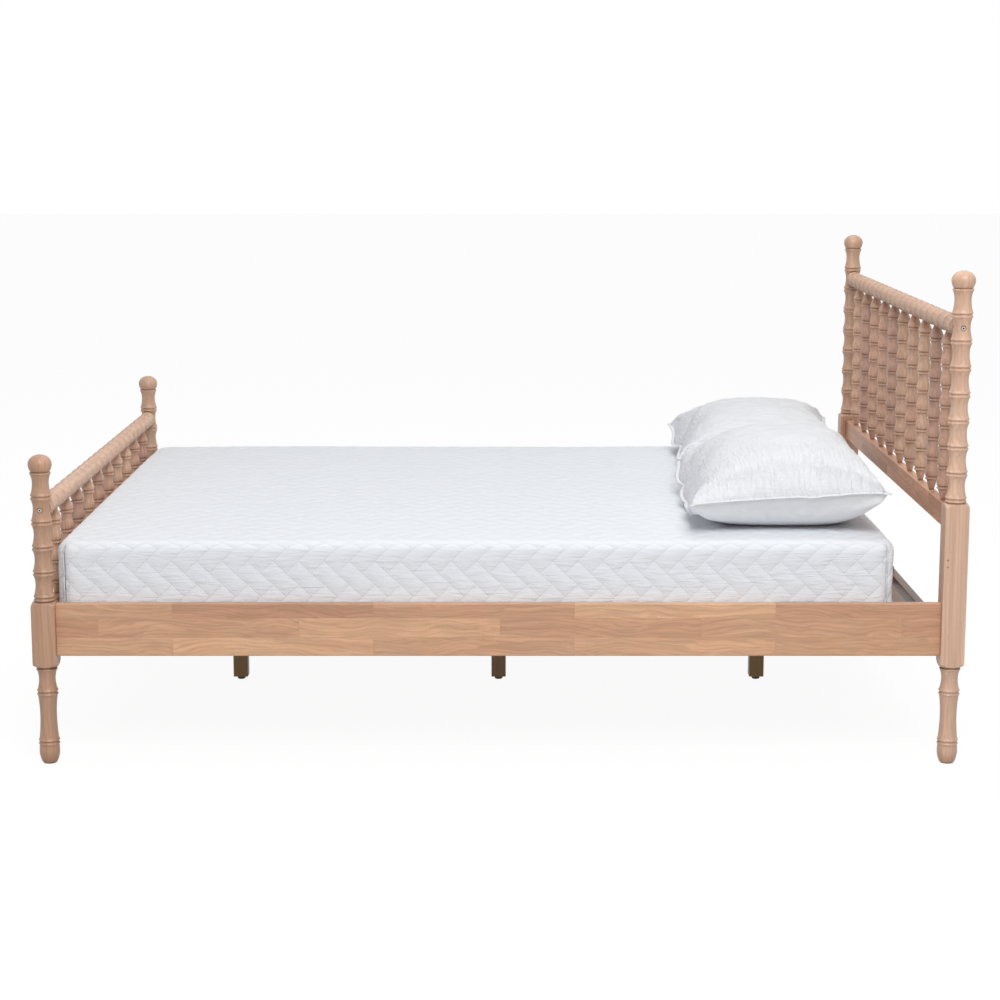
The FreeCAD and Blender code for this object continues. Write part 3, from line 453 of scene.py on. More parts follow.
def post(name, ring_z, pitch, bays, material):
    """One bamboo-turned post over its CAD node."""
    x, y, _ = centre(name)
    x, y = math.copysign(POST_X, x), math.copysign(POST_Y, y)
    rows = []
    for k in range(10):
        t = k / 9
        rows.append((TOE_TIP + (TOE_SWELL - TOE_TIP) * math.sin(math.pi / 2 * t) ** 0.7,
                     TOE_HIGH * t))
    rows.append((TOE_SWELL - 0.3 * MM, 38 * MM))
    rows += ring(TOE_RING, LIP)
    rows += waist(TOE_RING + RING_REACH, KNEE_RING - RING_REACH, RING_EDGE, LEG_WAIST, 0.55, 18)
    rows += ring(KNEE_RING, LIP)
    rows += waist(KNEE_RING + RING_REACH, COLLAR_RING - RING_REACH, RING_EDGE, WAIST, 0.55)
    # the collar's upper half is hidden in the block
    rows += [row for row in ring(COLLAR_RING, LIP) if row[1] <= COLLAR_RING + 0.1 * MM]
    crown = ring_z - 18.8 * MM
    rows += shoulder(BLOCK_BASE - SHOULDER + 0.6 * MM, BLOCK_BASE, True)
    steps = 12
    rows += [(0.1, BLOCK_BASE + (crown - BLOCK_BASE) * k / steps) for k in range(steps + 1)]
    rows += shoulder(crown, crown + SHOULDER - 2.4 * MM, False)
    for n in range(bays + 1):
        at = ring_z + pitch * n
        rows += ring(at, LIP)
        if n < bays:
            rows += waist(at + RING_REACH, at + pitch - RING_REACH, RING_EDGE, WAIST, 0.58)
    # the ball stands in the top ring's groove
    top = ring_z + pitch * bays
    rows = [row for row in rows if row[1] <= top - 1.5 * MM]
    first = math.asin(BALL_NECK / BALL_BELOW)
    for k in range(17):
        latitude = -first + (first + math.pi / 2) * k / 16
        axis = BALL_BELOW if latitude < 0 else BALL_ABOVE
        rows.append((max(BALL * math.cos(latitude), 0.4 * MM),
                     top + BALL_RISE + axis * math.sin(latitude)))
    obj = lathe(name + "_turning", rows, [material], POST_ANGLES, (x, y, 0), limit=square_limit)
    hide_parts(name)
    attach(obj, "frame")
    return obj


posts = {}
for end, (ring_z, pitch, bays) in POST_RINGS.items():
    for hand in ("right", "left"):
        label = "%s_post_%s" % (end, hand)
        posts[label] = post(label, ring_z, pitch, bays, post_woods[label])


# ---------------------------------------------------------------- bolts in the posts
def cut_bore(obj, x, y, z, radius, depth):
    """Takes a round bore out of a post's outer side."""
    side = math.copysign(1, y)
    start, stop = y + side * 0.03, y + side * (WAIST - depth)
    cutter = lathe("bore_cutter", [(radius, min(start, stop)), (radius, max(start, stop))], [],
                   round_angles(32), (x, 0, z), "Y")
    boolean = obj.modifiers.new("bore", "BOOLEAN")
    boolean.operation, boolean.object, boolean.solver = "DIFFERENCE", cutter, "EXACT"
    bpy.context.view_layer.update()
    settled = obj.evaluated_get(bpy.context.evaluated_depsgraph_get())
    mesh = bpy.data.meshes.new_from_object(settled)
    obj.modifiers.clear()
    obj.data = mesh
    bpy.data.objects.remove(cutter)


# (radius, depth) of a bolt from the end of its shank round to the floor of its socket (mm)
BOLT_PROFILE = ((4.0, 60.0), (4.0, 3.2), (5.1, 3.2), (5.1, 0.5), (4.6, 0.0), (2.1, 0.0),
                (1.9, 2.6), (0.05, 2.8))
SOCKET_ROWS, BOLT_SIDES = (5, 6), 36
BORE_RADIUS, BORE_DEPTH, HEAD_SUNK = 6.4 * MM, 5 * MM, 1.6 * MM


def bolt(build, x, y, z):
    """Adds one bolt, whose head with its hexagon socket looks outwards along Y."""
    face = abs(y) + WAIST - HEAD_SUNK
    rows = []
    for n, (radius, depth) in enumerate(BOLT_PROFILE):
        row = []
        for angle in round_angles(BOLT_SIDES):
            r = radius * MM
            if n in SOCKET_ROWS:
                r /= math.cos((angle % (math.pi / 3)) - math.pi / 6)
            at = math.copysign(face - depth * MM, y)
            row.append(build.verts.new((x + r * math.cos(angle), at, z + r * math.sin(angle))))
        rows.append(row)
    for n, (a, b) in enumerate(zip(rows, rows[1:])):
        for k in range(BOLT_SIDES):
            m = (k + 1) % BOLT_SIDES
            made = build.faces.new((a[k], a[m], b[m], b[k]))
            # the socket's walls and floor take the painted shadow
            made.material_index = 1 if n >= SOCKET_ROWS[0] else 0
    build.faces.new(rows[0])
    build.faces.new(rows[-1]).material_index = 1


def bolts():
    """The four bolts, sunk in bores in the posts."""
    mesh = bpy.data.meshes.new("bolt_heads")
    build = bmesh.new()
    for end, x in (("head", POST_X), ("foot", -POST_X)):
        z = centre(end + "_top_rail").z
        for side, y in (("right", -POST_Y), ("left", POST_Y)):
            cut_bore(posts["%s_post_%s" % (end, side)], x, y, z, BORE_RADIUS, BORE_DEPTH)
            bolt(build, x, y, z)
    bmesh.ops.recalc_face_normals(build, faces=build.faces)
    build.to_mesh(mesh)
    build.free()
    mesh.materials.append(bolt_steel)
    mesh.materials.append(painted_socket_shadow)
    obj = bpy.data.objects.new("bolt_heads", mesh)
    bpy.context.scene.collection.objects.link(obj)
    mesh.shade_smooth()
    mesh.set_sharp_from_angle(angle=math.radians(35))
    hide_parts("top_rail_bolts")
    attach(obj, "frame")


bolts()


PLUG_X = 1020.1 * MM
PLUG_HEIGHTS = {"upper": 481.6 * MM, "lower": 465.4 * MM}
# (radius, how far out of the block) of a plug (mm)
PLUG_PROFILE = ((2.1, -1.5), (2.1, 0.2), (1.6, 0.5), (0.8, 0.6))


def block_plugs(hand, side):
    """Two small plugs, one above the other, in the outer side of a head post's block."""
    face = POST_Y + BLOCK
    rows = [(r * MM, side * (face + out * MM)) for r, out in PLUG_PROFILE]
    for label, z in PLUG_HEIGHTS.items():
        obj = lathe("block_plug_%s_%s" % (hand, label), rows if side > 0 else rows[::-1],
                    [dark_plug], round_angles(20), (PLUG_X, 0, z), "Y")
        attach(obj, "frame")


block_plugs("right", -1)
block_plugs("left", 1)


# ---------------------------------------------------------------- spindles
SPINDLE_LIP, SPINDLE_NECK, SPINDLE_TIP = 16.5 * MM, 12.2 * MM, 6 * MM
SPINDLE_MOUTH = SPINDLE_LIP - 3.6 * MM
SPINDLE_PITCH, TENON = 47.4 * MM, 12 * MM
UNDER_RING, OVER_RING = 7.2 * MM, 8 * MM


def cone_end(edge, length, bend):
    """Radii from a spindle's tip out to edge, at their heights."""
    return [(SPINDLE_TIP + (edge - SPINDLE_TIP) * (k / 9) ** bend, length * k / 9)
            for k in range(1, 9)]


def spindle(node, rings, material):
    """A turned spindle: rings on their pitch between two cone ends, and a tenon at each."""
    low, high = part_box(node)
    x, y = (low[0] + high[0]) / 2, (low[1] + high[1]) / 2
    base, room = low[2] + TENON, high[2] - low[2] - 2 * TENON
    cone = (room - SPINDLE_PITCH * (rings - 1)) / 2
    rows = [(SPINDLE_TIP, -TENON + 0.3 * MM), (SPINDLE_TIP, 0.0)]
    rows += cone_end(SPINDLE_MOUTH, cone - UNDER_RING, 1.1)
    for n in range(rings):
        at = cone + SPINDLE_PITCH * n
        rows += [(SPINDLE_LIP - drop * MM, at + away * MM) for away, drop in LIP_SHAPE]
        if n < rings - 1:
            rows += vase(at + OVER_RING, at + SPINDLE_PITCH - UNDER_RING, SPINDLE_LIP,
                         SPINDLE_NECK, SPINDLE_MOUTH)
    upper = cone_end(SPINDLE_LIP, cone - OVER_RING, 0.95)
    rows += [(radius, room - height) for radius, height in reversed(upper)]
    rows += [(SPINDLE_TIP, room), (SPINDLE_TIP, room + TENON - 0.3 * MM)]
    obj = lathe(node + "_turning", rows, [material], round_angles(32), (x, y, base), sharp=50)
    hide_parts(node)
    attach(obj, "frame")


# which of the spindle woods each of the ten has, from the right
TONE_ORDER = (0, 2, 1, 0, 1, 2, 0, 0, 2, 1)
for n, tone in enumerate(TONE_ORDER):
    spindle("head_spindle_%02d" % (n + 1), 8, spindle_woods[tone])
    spindle("foot_spindle_%02d" % (n + 1), 4, spindle_woods[(tone + 1) % 3])


# ---------------------------------------------------------------- top rails
TOP_LIP, TOP_WAIST = 22 * MM, 17.8 * MM
TOP_LONG, TOP_DEEP = 0.95, 1.3
TOP_RINGS, TOP_PITCH = 22, 70.4545 * MM


def top_rail(node):
    """The ringed rail; its ends run into the posts' waists."""
    low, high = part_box(node)
    x, z = math.copysign(POST_X, low[0]), (low[2] + high[2]) / 2
    reach, edge = 8 * MM * TOP_LONG, TOP_LIP - 1.9 * MM * TOP_DEEP
    end, taper, blend = high[1] - 4 * MM, 4 * MM, TOP_WAIST + 0.3 * MM
    first = -TOP_PITCH * (TOP_RINGS - 1) / 2
    rows = [(TOP_WAIST, -end), (blend, -end + taper)]
    for n in range(TOP_RINGS):
        at = first + TOP_PITCH * n
        rows += ring(at, TOP_LIP, TOP_LONG, TOP_DEEP)
        if n < TOP_RINGS - 1:
            rows += waist(at + reach, at + TOP_PITCH - reach, edge, TOP_WAIST)
    rows += [(blend, end - taper), (TOP_WAIST, end)]
    obj = lathe(node + "_turning", rows, [top_woods[node[:4]]], round_angles(44), (x, 0, z),
                "Y", sharp=50)
    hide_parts(node)
    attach(obj, "frame")


top_rail("head_top_rail")
top_rail("foot_top_rail")


# ---------------------------------------------------------------- carried-over nodes
# how the nodes that keep their CAD shape are finished, by the start of their name
FINISHES = (("side_rail", side_wood), ("slat_ledger", beam_wood), ("slat", slat_wood),
            ("foot_lower_rail", cross_wood), ("head_panel_rail", panel_wood),
            ("centre_beam", beam_wood), ("centre_leg", leg_wood),
            ("levelling_foot", black_plastic), ("post_slot_plates", steel),
            ("rail_hook_plates", steel))
for name, obj in frame["nodes"].items():
    material = next((made for start, made in FINISHES if name.startswith(start)), None)
    if material is None:
        continue
    if not obj.material_slots:
        obj.data.materials.append(material)
    for entry in obj.material_slots:
        entry.link = "OBJECT"
        entry.material = material


RAIL_TENON, TENON_SHOULDER = 20 * MM, 5 * MM
RAIL_EDGE, TENON_EDGE, EDGE_STEPS = 2 * MM, 0.5 * MM, 3


def board_section(half_x, half_z, edge):
    """Outline across a board, its edges rounded off."""
    outline = []
    for quarter, (side_x, side_z) in enumerate(((1, 1), (-1, 1), (-1, -1), (1, -1))):
        for k in range(EDGE_STEPS + 1):
            angle = math.pi / 2 * (quarter + k / EDGE_STEPS)
            outline.append((side_x * (half_x - edge) + edge * math.cos(angle),
                            side_z * (half_z - edge) + edge * math.sin(angle)))
    return outline


def lowered_rail(node, top):
    """The head's lower rail, whose top lies below the side rails', with its tenons."""
    low, high = [Vector(corner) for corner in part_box(node)]
    middle_x, middle_z = (low.x + high.x) / 2, (low.z + top) / 2
    half_x, half_z = (high.x - low.x) / 2, (top - low.z) / 2
    board = board_section(half_x, half_z, RAIL_EDGE)
    tenon = board_section(half_x - TENON_SHOULDER, half_z - TENON_SHOULDER, TENON_EDGE)
    end, shoulder_y = high.y, high.y - RAIL_TENON
    rows = [(-end, tenon), (-shoulder_y, tenon), (-shoulder_y, board),
            (shoulder_y, board), (shoulder_y, tenon), (end, tenon)]
    points = [(middle_x + x, y, middle_z + z) for y, outline in rows for x, z in outline]
    count = len(board)
    faces = [tuple(range(count)), tuple(reversed(range(len(points) - count, len(points))))]
    for row in range(len(rows) - 1):
        for k in range(count):
            n = (k + 1) % count
            faces.append((row * count + n, row * count + k,
                          (row + 1) * count + k, (row + 1) * count + n))
    obj = mesh_object(node + "_board", points, faces, [head_rail_wood], 40)
    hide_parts(node)
    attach(obj, "frame")


lowered_rail("head_lower_rail", 296 * MM)


# ---------------------------------------------------------------- mattress
def herringbone(a, b):
    """How far a point is from its block's stitched edge, in block widths."""
    whole_a, whole_b = np.floor(a), np.floor(b)
    part_a, part_b = a - whole_a, b - whole_b
    turn = np.mod(whole_a - whole_b, 4)
    edges = [part_a + (turn == 1), 1 - part_a + (turn == 0),
             part_b + (turn == 2), 1 - part_b + (turn == 3)]
    return np.minimum.reduce(edges)


MATTRESS_CELL = 8.5 * MM
MATTRESS_EDGE, MATTRESS_CORNER, MATTRESS_UNDER = 26 * MM, 45 * MM, 10 * MM
FOOT_SWELL, HEAD_SWELL = 14 * MM, 10 * MM
STITCH_SINK, STITCH_FADE = 1.5 * MM, 0.16
SLOW_SINK, TOP_DROOP = 3.0 * MM, 2 * MM
# a slit stands this far from each end, with grid lines at these distances from it (mm)
SLIT_FROM_END = 15 * MM
SLIT_LINES = (-9.0, -6.0, -3.4, -2.8, 0.0, 2.8, 3.4, 6.0, 9.0)
SLIT_HALF_WIDE, SLIT_WALL = 3.4, 0.6
SLIT_DEPTH, SEAM_DEPTH, SLIT_LIFT = 36 * MM, 2.5 * MM, 4.5 * MM


def grid_lines(half, slit_x):
    """Where the mattress's grid is divided along each axis, from -1 to 1, with the lines
    near the slits in place of the even ones there."""
    counts = [max(2, int(round(2 * h / MATTRESS_CELL))) for h in half]
    lines = [np.linspace(-1, 1, count + 1) for count in counts]
    close = [(slit_x + d * MM) / half[0] for d in SLIT_LINES]
    room = 0.4 * MATTRESS_CELL / half[0]
    kept = [u for u in lines[0] if min(abs(abs(u) - c) for c in close) > room]
    lines[0] = np.array(sorted(kept + close + [-c for c in close]))
    return lines


def box_grid(lines):
    """Points and faces of a box from -1 to 1, divided at the lines of each axis, with its
    underside as one face."""
    index, points, faces = {}, [], []

    def vertex(i, j, k):
        key = (i, j, k)
        if key not in index:
            index[key] = len(points)
            points.append([lines[0][i], lines[1][j], lines[2][k]])
        return index[key]

    nx, ny, nz = [len(line) - 1 for line in lines]
    for i in range(nx):
        for j in range(ny):
            faces.append((vertex(i, j, nz), vertex(i + 1, j, nz), vertex(i + 1, j + 1, nz),
                          vertex(i, j + 1, nz)))
    for k in range(nz):
        for i in range(nx):
            faces.append((vertex(i, 0, k), vertex(i + 1, 0, k), vertex(i + 1, 0, k + 1),
                          vertex(i, 0, k + 1)))
            faces.append((vertex(i + 1, ny, k), vertex(i, ny, k), vertex(i, ny, k + 1),
                          vertex(i + 1, ny, k + 1)))
        for j in range(ny):
            faces.append((vertex(0, j + 1, k), vertex(0, j, k), vertex(0, j, k + 1),
                          vertex(0, j + 1, k + 1)))
            faces.append((vertex(nx, j, k), vertex(nx, j + 1, k), vertex(nx, j + 1, k + 1),
                          vertex(nx, j, k + 1)))
    rim = [vertex(i, 0, 0) for i in range(nx)] + [vertex(nx, j, 0) for j in range(ny)]
    rim += [vertex(i, ny, 0) for i in range(nx, 0, -1)]
    rim += [vertex(0, j, 0) for j in range(ny, 0, -1)]
    faces.append(tuple(reversed(rim)))
    return np.array(points), faces


def quilt_grid(unit, box, half):
    """The quilt's grid coordinates, on the coverlet unrolled from the top down the sides."""
    depth = np.maximum(half[2] - box[:, 2], 0)
    on_end = np.abs(unit[:, 0]) > 0.9999
    u = box[:, 0] + np.where(on_end, np.sign(unit[:, 0]) * depth, 0)
    v = box[:, 1] + np.where(~on_end, np.sign(unit[:, 1]) * depth
                             * (np.abs(unit[:, 1]) > 0.9999), 0)
    a = (u + v + QUILT_SHIFT) / math.sqrt(2) / QUILT_WIDE
    b = (u - v - QUILT_SHIFT) / math.sqrt(2) / QUILT_WIDE
    return a, b


def rounded(box, half):
    """The box's points with rounded edges, and rounder corners in plan; also the normals."""
    core = np.clip(box, -(half - MATTRESS_EDGE), half - MATTRESS_EDGE)
    core[:, 2] = np.clip(box[:, 2], -(half[2] - MATTRESS_UNDER), half[2] - MATTRESS_EDGE)
    out = box - core
    length = np.linalg.norm(out, axis=1, keepdims=True)
    reach = np.where(box[:, 2:3] > 0, MATTRESS_EDGE,
                     np.minimum(MATTRESS_EDGE, np.abs(out).max(1, keepdims=True)))
    normal = out / np.maximum(length, 1e-9)
    place = core + normal * reach
    flat_half = half[:2] - MATTRESS_CORNER
    flat = np.clip(place[:, :2], -flat_half, flat_half)
    out = place[:, :2] - flat
    scale = np.abs(out).max(1) / np.maximum(np.linalg.norm(out, axis=1), 1e-9)
    place[:, :2] = flat + out * scale[:, None]
    return place, normal


def mattress():
    """A mattress under a quilted coverlet: rounded edges and corners, puffed blocks."""
    low, high = [np.array(v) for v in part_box("mattress")]
    middle, half = (low + high) / 2, (high - low) / 2
    slit_x = half[0] - SLIT_FROM_END
    unit, faces = box_grid(grid_lines(half, slit_x))
    box = unit * half
    a, b = quilt_grid(unit, box, half)
    place, normal = rounded(box, half)
    # the coverlet lies in puffed blocks, over slow undulations and a slightly soft top
    sink = np.exp(-herringbone(a, b) / STITCH_FADE) * STITCH_SINK
    slow = np.array([noise.noise(Vector((p[0] * 3.1, p[1] * 3.1, p[2] * 9 + 4)))
                     for p in place])
    sink += (0.5 + 0.5 * slow) * SLOW_SINK
    sink[place[:, 2] < -half[2] * 0.5] *= 0.4
    droop = (np.abs(unit[:, 1]) ** 6 + np.abs(unit[:, 0]) ** 12) * TOP_DROOP
    # by each corner the side's cloth ends and the end's is tucked behind it: an open slit
    # at the foot, a closed seam at the head
    beside = (np.abs(box[:, 0]) - slit_x) / MM
    on_side = (np.abs(unit[:, 1]) > 0.9999) & (np.abs(unit[:, 2]) < 0.97)
    fade = np.clip((half[2] * 0.90 - box[:, 2]) / (30 * MM), 0, 1)
    wall = np.clip(SLIT_HALF_WIDE - np.abs(beside), 0, SLIT_WALL) / SLIT_WALL
    fold = np.where(on_side, fade * wall, 0)
    tuck_and_painted_shade = np.where(unit[:, 0] < 0, fold, 0)
    sink += tuck_and_painted_shade * SLIT_DEPTH + (fold - tuck_and_painted_shade) * SEAM_DEPTH
    lift = np.where(on_side, fade * SLIT_LIFT * np.exp(-((beside - 9) / 6) ** 2), 0)
    lift[unit[:, 0] > 0] *= 0.3
    sink -= lift
    place -= normal * sink[:, None]
    place[:, 2] -= np.where(place[:, 2] > 0, droop, 0)
    place[:, 0] *= 1 + np.where(place[:, 0] < 0, FOOT_SWELL, HEAD_SWELL) / half[0]
    obj = mesh_object("mattress_coverlet", place + middle, faces, [coverlet_fabric])
    # the foot slits' mask is kept on the mesh for the coverlet's painted shade in them
    obj.data.attributes.new("tuck_and_painted_shade", "FLOAT", "POINT").data.foreach_set(
        "value", tuck_and_painted_shade.astype(np.float32))
    layer = obj.data.uv_layers.new(name="quilt")
    loops = np.empty(len(obj.data.loops), dtype=np.int32)
    obj.data.loops.foreach_get("vertex_index", loops)
    layer.data.foreach_set("uv", np.column_stack([a, b])[loops].ravel())
    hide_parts("mattress")
    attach(obj, "mattress")


mattress()


# ---------------------------------------------------------------- pillows
HALF_WIDE, HALF_LONG = 236 * MM, 343 * MM
PILLOW_CELLS = (64, 92)
SETTLE_AT_MOST, LUMP_HIGH = 14 * MM, 4.5 * MM
# seam: its height at the middle; tilt: how much higher it is at the head side; draw: how
# far the sides are drawn in; loose: whether the foot side hangs out; turn is in degrees
PILLOWS = {
    "pillow_right": {"seed": 1, "seam": 90 * MM, "tilt": 26 * MM, "crown": 101 * MM,
                     "draw": 0.07, "loose": True, "turn": -1.7},
    "pillow_left": {"seed": 2, "seam": 84 * MM, "tilt": 14 * MM, "crown": 80 * MM,
                    "draw": 0.09, "loose": False, "turn": -2.6}}


def pillow_plan(u, v, draw, loose):
    """Plan position of the point (u, v) of a pillow, its sides drawn in between corners;
    a loose side towards the foot hangs out instead."""
    inward = 0.01 if loose and u < 0 else draw
    x = HALF_WIDE * u * (1 - inward * (1 - v * v))
    y = HALF_LONG * v * (1 - draw * 0.75 * (1 - u * u))
    return x, y


def pillow_point(u, v, side, form):
    """The point (u, v) of the upper side (1), the under side (-1) or the seam (0)."""
    seed = form["seed"]
    x, y = pillow_plan(u, v, form["draw"], form["loose"])
    full = max(0.0, (1 - abs(u) ** 2.4)) ** 0.62 * max(0.0, (1 - abs(v) ** 2.6)) ** 0.60
    belly = max(0.0, (1 - abs(u) ** 3.2)) ** 0.55 * max(0.0, (1 - abs(v) ** 2.2)) ** 0.75
    seam = form["seam"] + form["tilt"] * x / (2 * HALF_WIDE)
    # the foot side's seam sinks towards the bed between the corners, in waves
    hang = max(0.0, -u) ** 4 * (1 - v ** 4)
    x += hang * 6 * MM * math.sin(11 * v + 2.2 * seed)
    seam -= hang * (57 + 9 * math.sin(9 * v + seed)) * MM
    if side > 0:
        seam += form["crown"] * full
    elif side < 0:
        seam -= min(seam, seam * 1.12 * belly)
    return x, y, max(seam, 0.0)


def pillow_shell(form):
    """Points and faces of a pillow's two sides, upper first, and its seam's points."""
    nu, nv = PILLOW_CELLS
    points, index, faces = [], {}, []

    def vertex(i, j, side):
        key = (i, j, 0 if i in (0, nu) or j in (0, nv) else side)
        if key not in index:
            # cells get smaller towards the seam
            u, v = -math.cos(math.pi * i / nu), -math.cos(math.pi * j / nv)
            u, v = u * 0.35 + (2 * i / nu - 1) * 0.65, v * 0.35 + (2 * j / nv - 1) * 0.65
            index[key] = len(points)
            points.append(pillow_point(u, v, key[2], form))
        return index[key]

    for side in (1, -1):
        for i in range(nu):
            for j in range(nv):
                quad = (vertex(i, j, side), vertex(i + 1, j, side),
                        vertex(i + 1, j + 1, side), vertex(i, j + 1, side))
                faces.append(quad if side > 0 else quad[::-1])
    rim = [index[(i, 0, 0)] for i in range(nu)] + [index[(nu, j, 0)] for j in range(nv)]
    rim += [index[(i, nv, 0)] for i in range(nu, 0, -1)]
    rim += [index[(0, j, 0)] for j in range(nv, 0, -1)]
    return points, faces, rim


def pillow(node, form):
    """A crowned pillow in its sham, with a plain lining below and a hem all round."""
    low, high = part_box(node)
    seed, turn = form["seed"], math.radians(form["turn"])
    points, faces, rim = pillow_shell(form)
    start = np.array(points)
    obj = mesh_object(node + "_sham", points, faces, [sham_fabric, lining_fabric])
    settle(obj)
    shape = np.empty(len(obj.data.vertices) * 3)
    obj.data.vertices.foreach_get("co", shape)
    shape = shape.reshape(-1, 3)
    moved = shape - start
    length = np.linalg.norm(moved, axis=1, keepdims=True)
    shape = start + moved * np.minimum(1, SETTLE_AT_MOST / np.maximum(length, 1e-9))
    lumps = np.array([noise.fractal(Vector((p[0] * 11 + seed * 7, p[1] * 11, p[2] * 11)),
                                    0.6, 2, 3) for p in shape])
    shape[:, 2] += np.where(shape[:, 2] > form["seam"], lumps * LUMP_HIGH, 0)
    shape[:, 2] = np.maximum(shape[:, 2], 0.2 * MM)
    cos, sin = math.cos(turn), math.sin(turn)
    world = np.column_stack([(low[0] + high[0]) / 2 + shape[:, 0] * cos - shape[:, 1] * sin,
                             (low[1] + high[1]) / 2 + shape[:, 0] * sin + shape[:, 1] * cos,
                             low[2] + shape[:, 2]])
    obj.data.vertices.foreach_set("co", world.ravel())
    upper_faces = PILLOW_CELLS[0] * PILLOW_CELLS[1]
    for polygon in obj.data.polygons:
        polygon.material_index = 0 if polygon.index < upper_faces else 1
    obj.data.update()
    hem(node + "_hem", [Vector(world[k]) for k in rim])
    subdivide = obj.modifiers.new("smooth", "SUBSURF")
    subdivide.levels = subdivide.render_levels = 1
    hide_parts(node)
    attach(obj, node)


SETTLE_FRAMES = 20


def settle(obj):
    """Blows the cover up a little so that its seam puckers as sewn cloth does."""
    scene = bpy.context.scene
    cloth = obj.modifiers.new("cloth", "CLOTH")
    settings = cloth.settings
    settings.quality = 6
    settings.use_pressure = True
    settings.uniform_pressure_force = 4.0
    settings.tension_stiffness = settings.compression_stiffness = 12
    settings.bending_stiffness = 0.4
    settings.shrink_min = -0.035
    settings.effector_weights.gravity = 0.0
    cloth.point_cache.frame_start, cloth.point_cache.frame_end = 1, SETTLE_FRAMES
    for step in range(1, SETTLE_FRAMES + 1):
        scene.frame_set(step)
    settled = obj.evaluated_get(bpy.context.evaluated_depsgraph_get())
    mesh = bpy.data.meshes.new_from_object(settled)
    shape = np.empty(len(mesh.vertices) * 3)
    mesh.vertices.foreach_get("co", shape)
    obj.modifiers.remove(cloth)
    scene.frame_set(1)
    obj.data.vertices.foreach_set("co", shape)
    obj.data.update()
    bpy.data.meshes.remove(mesh)


HEM_SIDES, HEM_WIDE, HEM_THICK = 10, 4.6 * MM, 1.4 * MM
HEM_OUT, HEM_DIP = 2.4 * MM, 1.1 * MM


def hem(name, path):
    """The flat sewn hem that stands out all along the pillow's edge."""
    count = len(path)
    points, faces = [], []
    for k in range(count):
        ahead, behind = path[(k + 1) % count], path[k - 1]
        along = (ahead - behind).normalized()
        out = along.cross(Vector((0, 0, 1))).normalized()
        up = out.cross(along).normalized()
        if up.z < 0:
            up = -up
        for angle in round_angles(HEM_SIDES):
            points.append(path[k] + out * (math.cos(angle) * HEM_WIDE + HEM_OUT)
                          + up * (math.sin(angle) * HEM_THICK - math.cos(angle) * HEM_DIP))
    for k in range(count):
        n = (k + 1) % count
        for a in range(HEM_SIDES):
            b = (a + 1) % HEM_SIDES
            faces.append((k * HEM_SIDES + a, k * HEM_SIDES + b,
                          n * HEM_SIDES + b, n * HEM_SIDES + a))
    obj = mesh_object(name, points, faces, [sham_fabric])
    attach(obj, name.replace("_hem", ""))


for node, form in PILLOWS.items():
    pillow(node, form)


# ---------------------------------------------------------------- floor, light and camera
def seen_plainly(tree):
    """1 for what the camera sees itself, in a gloss or through glass."""
    path = tree.nodes.new("ShaderNodeLightPath")
    total = path.outputs["Is Camera Ray"]
    for name in ("Is Glossy Ray", "Is Transmission Ray"):
        either = tree.nodes.new("ShaderNodeMath")
        either.operation = "MAXIMUM"
        tree.links.new(total, either.inputs[0])
        tree.links.new(path.outputs[name], either.inputs[1])
        total = either.outputs[0]
    return total


WHITE = (1.0, 1.0, 1.0, 1.0)
FLOOR_HALF, FLOOR_DROP = 30.0, 0.5 * MM
FLOOR_GREY, FLOOR_GLOW, FLOOR_SHARE = 0.6, 1.10, 0.85
STUDIO_LIGHT = 0.33


def mixed_shader(tree, share, first, second, output):
    """Sends a mix of two shaders to the output, with the share of the second."""
    mix = tree.nodes.new("ShaderNodeMixShader")
    tree.links.new(share, mix.inputs[0])
    tree.links.new(first.outputs[0], mix.inputs[1])
    tree.links.new(second.outputs[0], mix.inputs[2])
    tree.links.new(mix.outputs[0], tree.nodes[output].inputs[0])


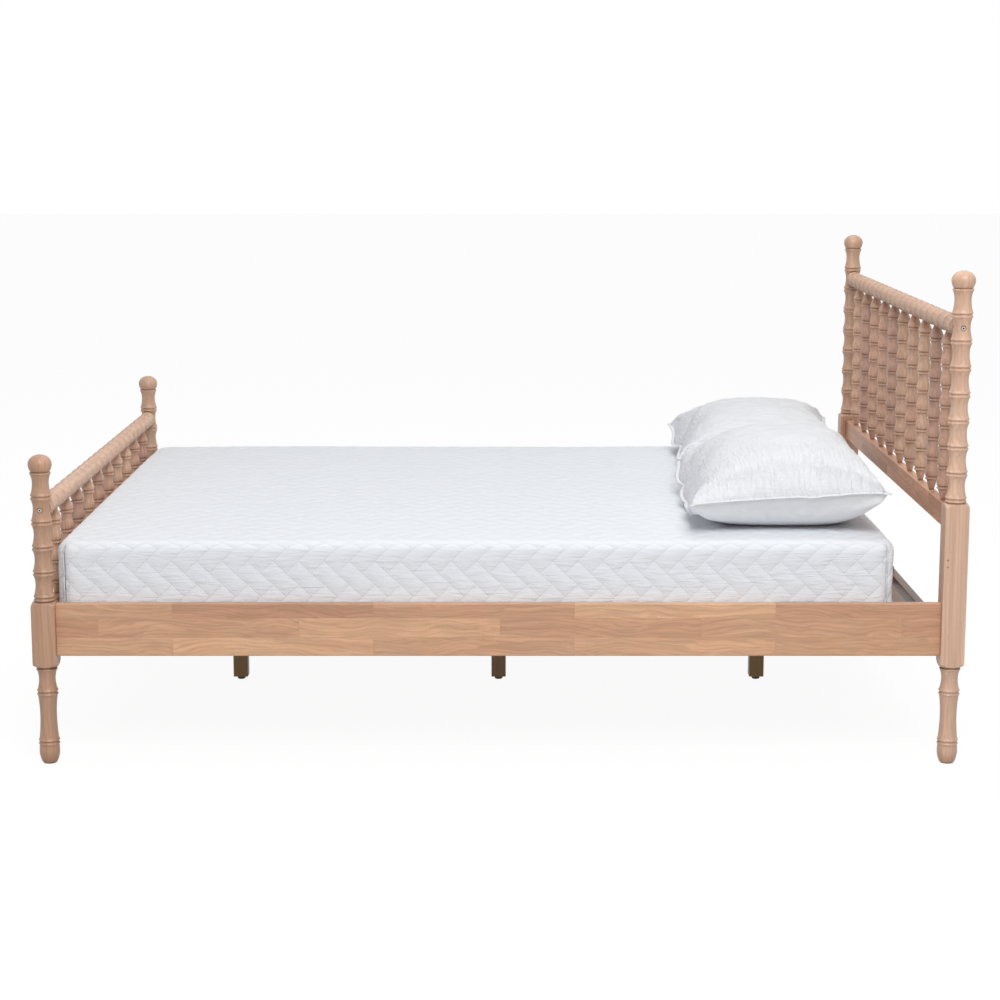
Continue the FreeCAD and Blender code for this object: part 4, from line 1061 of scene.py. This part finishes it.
def floor():
    """A white floor that fades into the white background and keeps a faint shadow."""
    mesh = bpy.data.meshes.new("floor")
    mesh.from_pydata([(FLOOR_HALF * x, FLOOR_HALF * y, -FLOOR_DROP)
                      for x, y in ((-1, -1), (1, -1), (1, 1), (-1, 1))], [], [(0, 1, 2, 3)])
    obj = bpy.data.objects.new("floor", mesh)
    bpy.context.scene.collection.objects.link(obj)
    material = bpy.data.materials.new("floor_white")
    material.use_nodes = True
    tree = material.node_tree
    shader = tree.nodes["Principled BSDF"]
    shader.inputs["Base Color"].default_value = (FLOOR_GREY, FLOOR_GREY, FLOOR_GREY, 1)
    shader.inputs["Roughness"].default_value = 0.9
    glow = tree.nodes.new("ShaderNodeEmission")
    glow.inputs[0].default_value = WHITE
    glow.inputs[1].default_value = FLOOR_GLOW
    share = tree.nodes.new("ShaderNodeMath")
    share.operation = "MULTIPLY"
    share.inputs[1].default_value = FLOOR_SHARE
    tree.links.new(seen_plainly(tree), share.inputs[0])
    mixed_shader(tree, share.outputs[0], shader, glow, "Material Output")
    mesh.materials.append(material)


def world():
    """White where the camera sees it, and an even studio grey for everything else."""
    sky = bpy.data.worlds.new("studio")
    sky.use_nodes = True
    tree = sky.node_tree
    back = tree.nodes["Background"]
    back.inputs[0].default_value = WHITE
    back.inputs[1].default_value = STUDIO_LIGHT
    white = tree.nodes.new("ShaderNodeBackground")
    white.inputs[0].default_value = WHITE
    mixed_shader(tree, seen_plainly(tree), back, white, "World Output")
    bpy.context.scene.world = sky


def softbox(name, location, target, size, power):
    """A square lamp at location that looks at target."""
    lamp = bpy.data.lights.new(name, "AREA")
    lamp.shape, lamp.size, lamp.energy = "SQUARE", size, power
    obj = bpy.data.objects.new(name, lamp)
    obj.location = location
    aim = Vector(target) - Vector(location)
    obj.rotation_euler = aim.to_track_quat("-Z", "Y").to_euler()
    bpy.context.scene.collection.objects.link(obj)


def camera():
    """The photograph's camera, from the fit to its posts, rings and legs."""
    data = bpy.data.cameras.new("camera")
    data.lens, data.sensor_width = 78.87, 36.0
    obj = bpy.data.objects.new("camera", data)
    obj.location = (3.7 * MM, -5675.6 * MM, 1463.1 * MM)
    obj.rotation_euler = (math.radians(80.193), 0, 0)
    bpy.context.scene.collection.objects.link(obj)
    bpy.context.scene.camera = obj


floor()
world()
softbox("key", (0.4, -4.3, 4.2), (0, 0, 0.5), 2.6, 172)
softbox("top", (0.4, 0.6, 4.6), (0, 0, 0.4), 3.6, 66)
camera()
bpy.context.scene.view_settings.view_transform = "Standard"
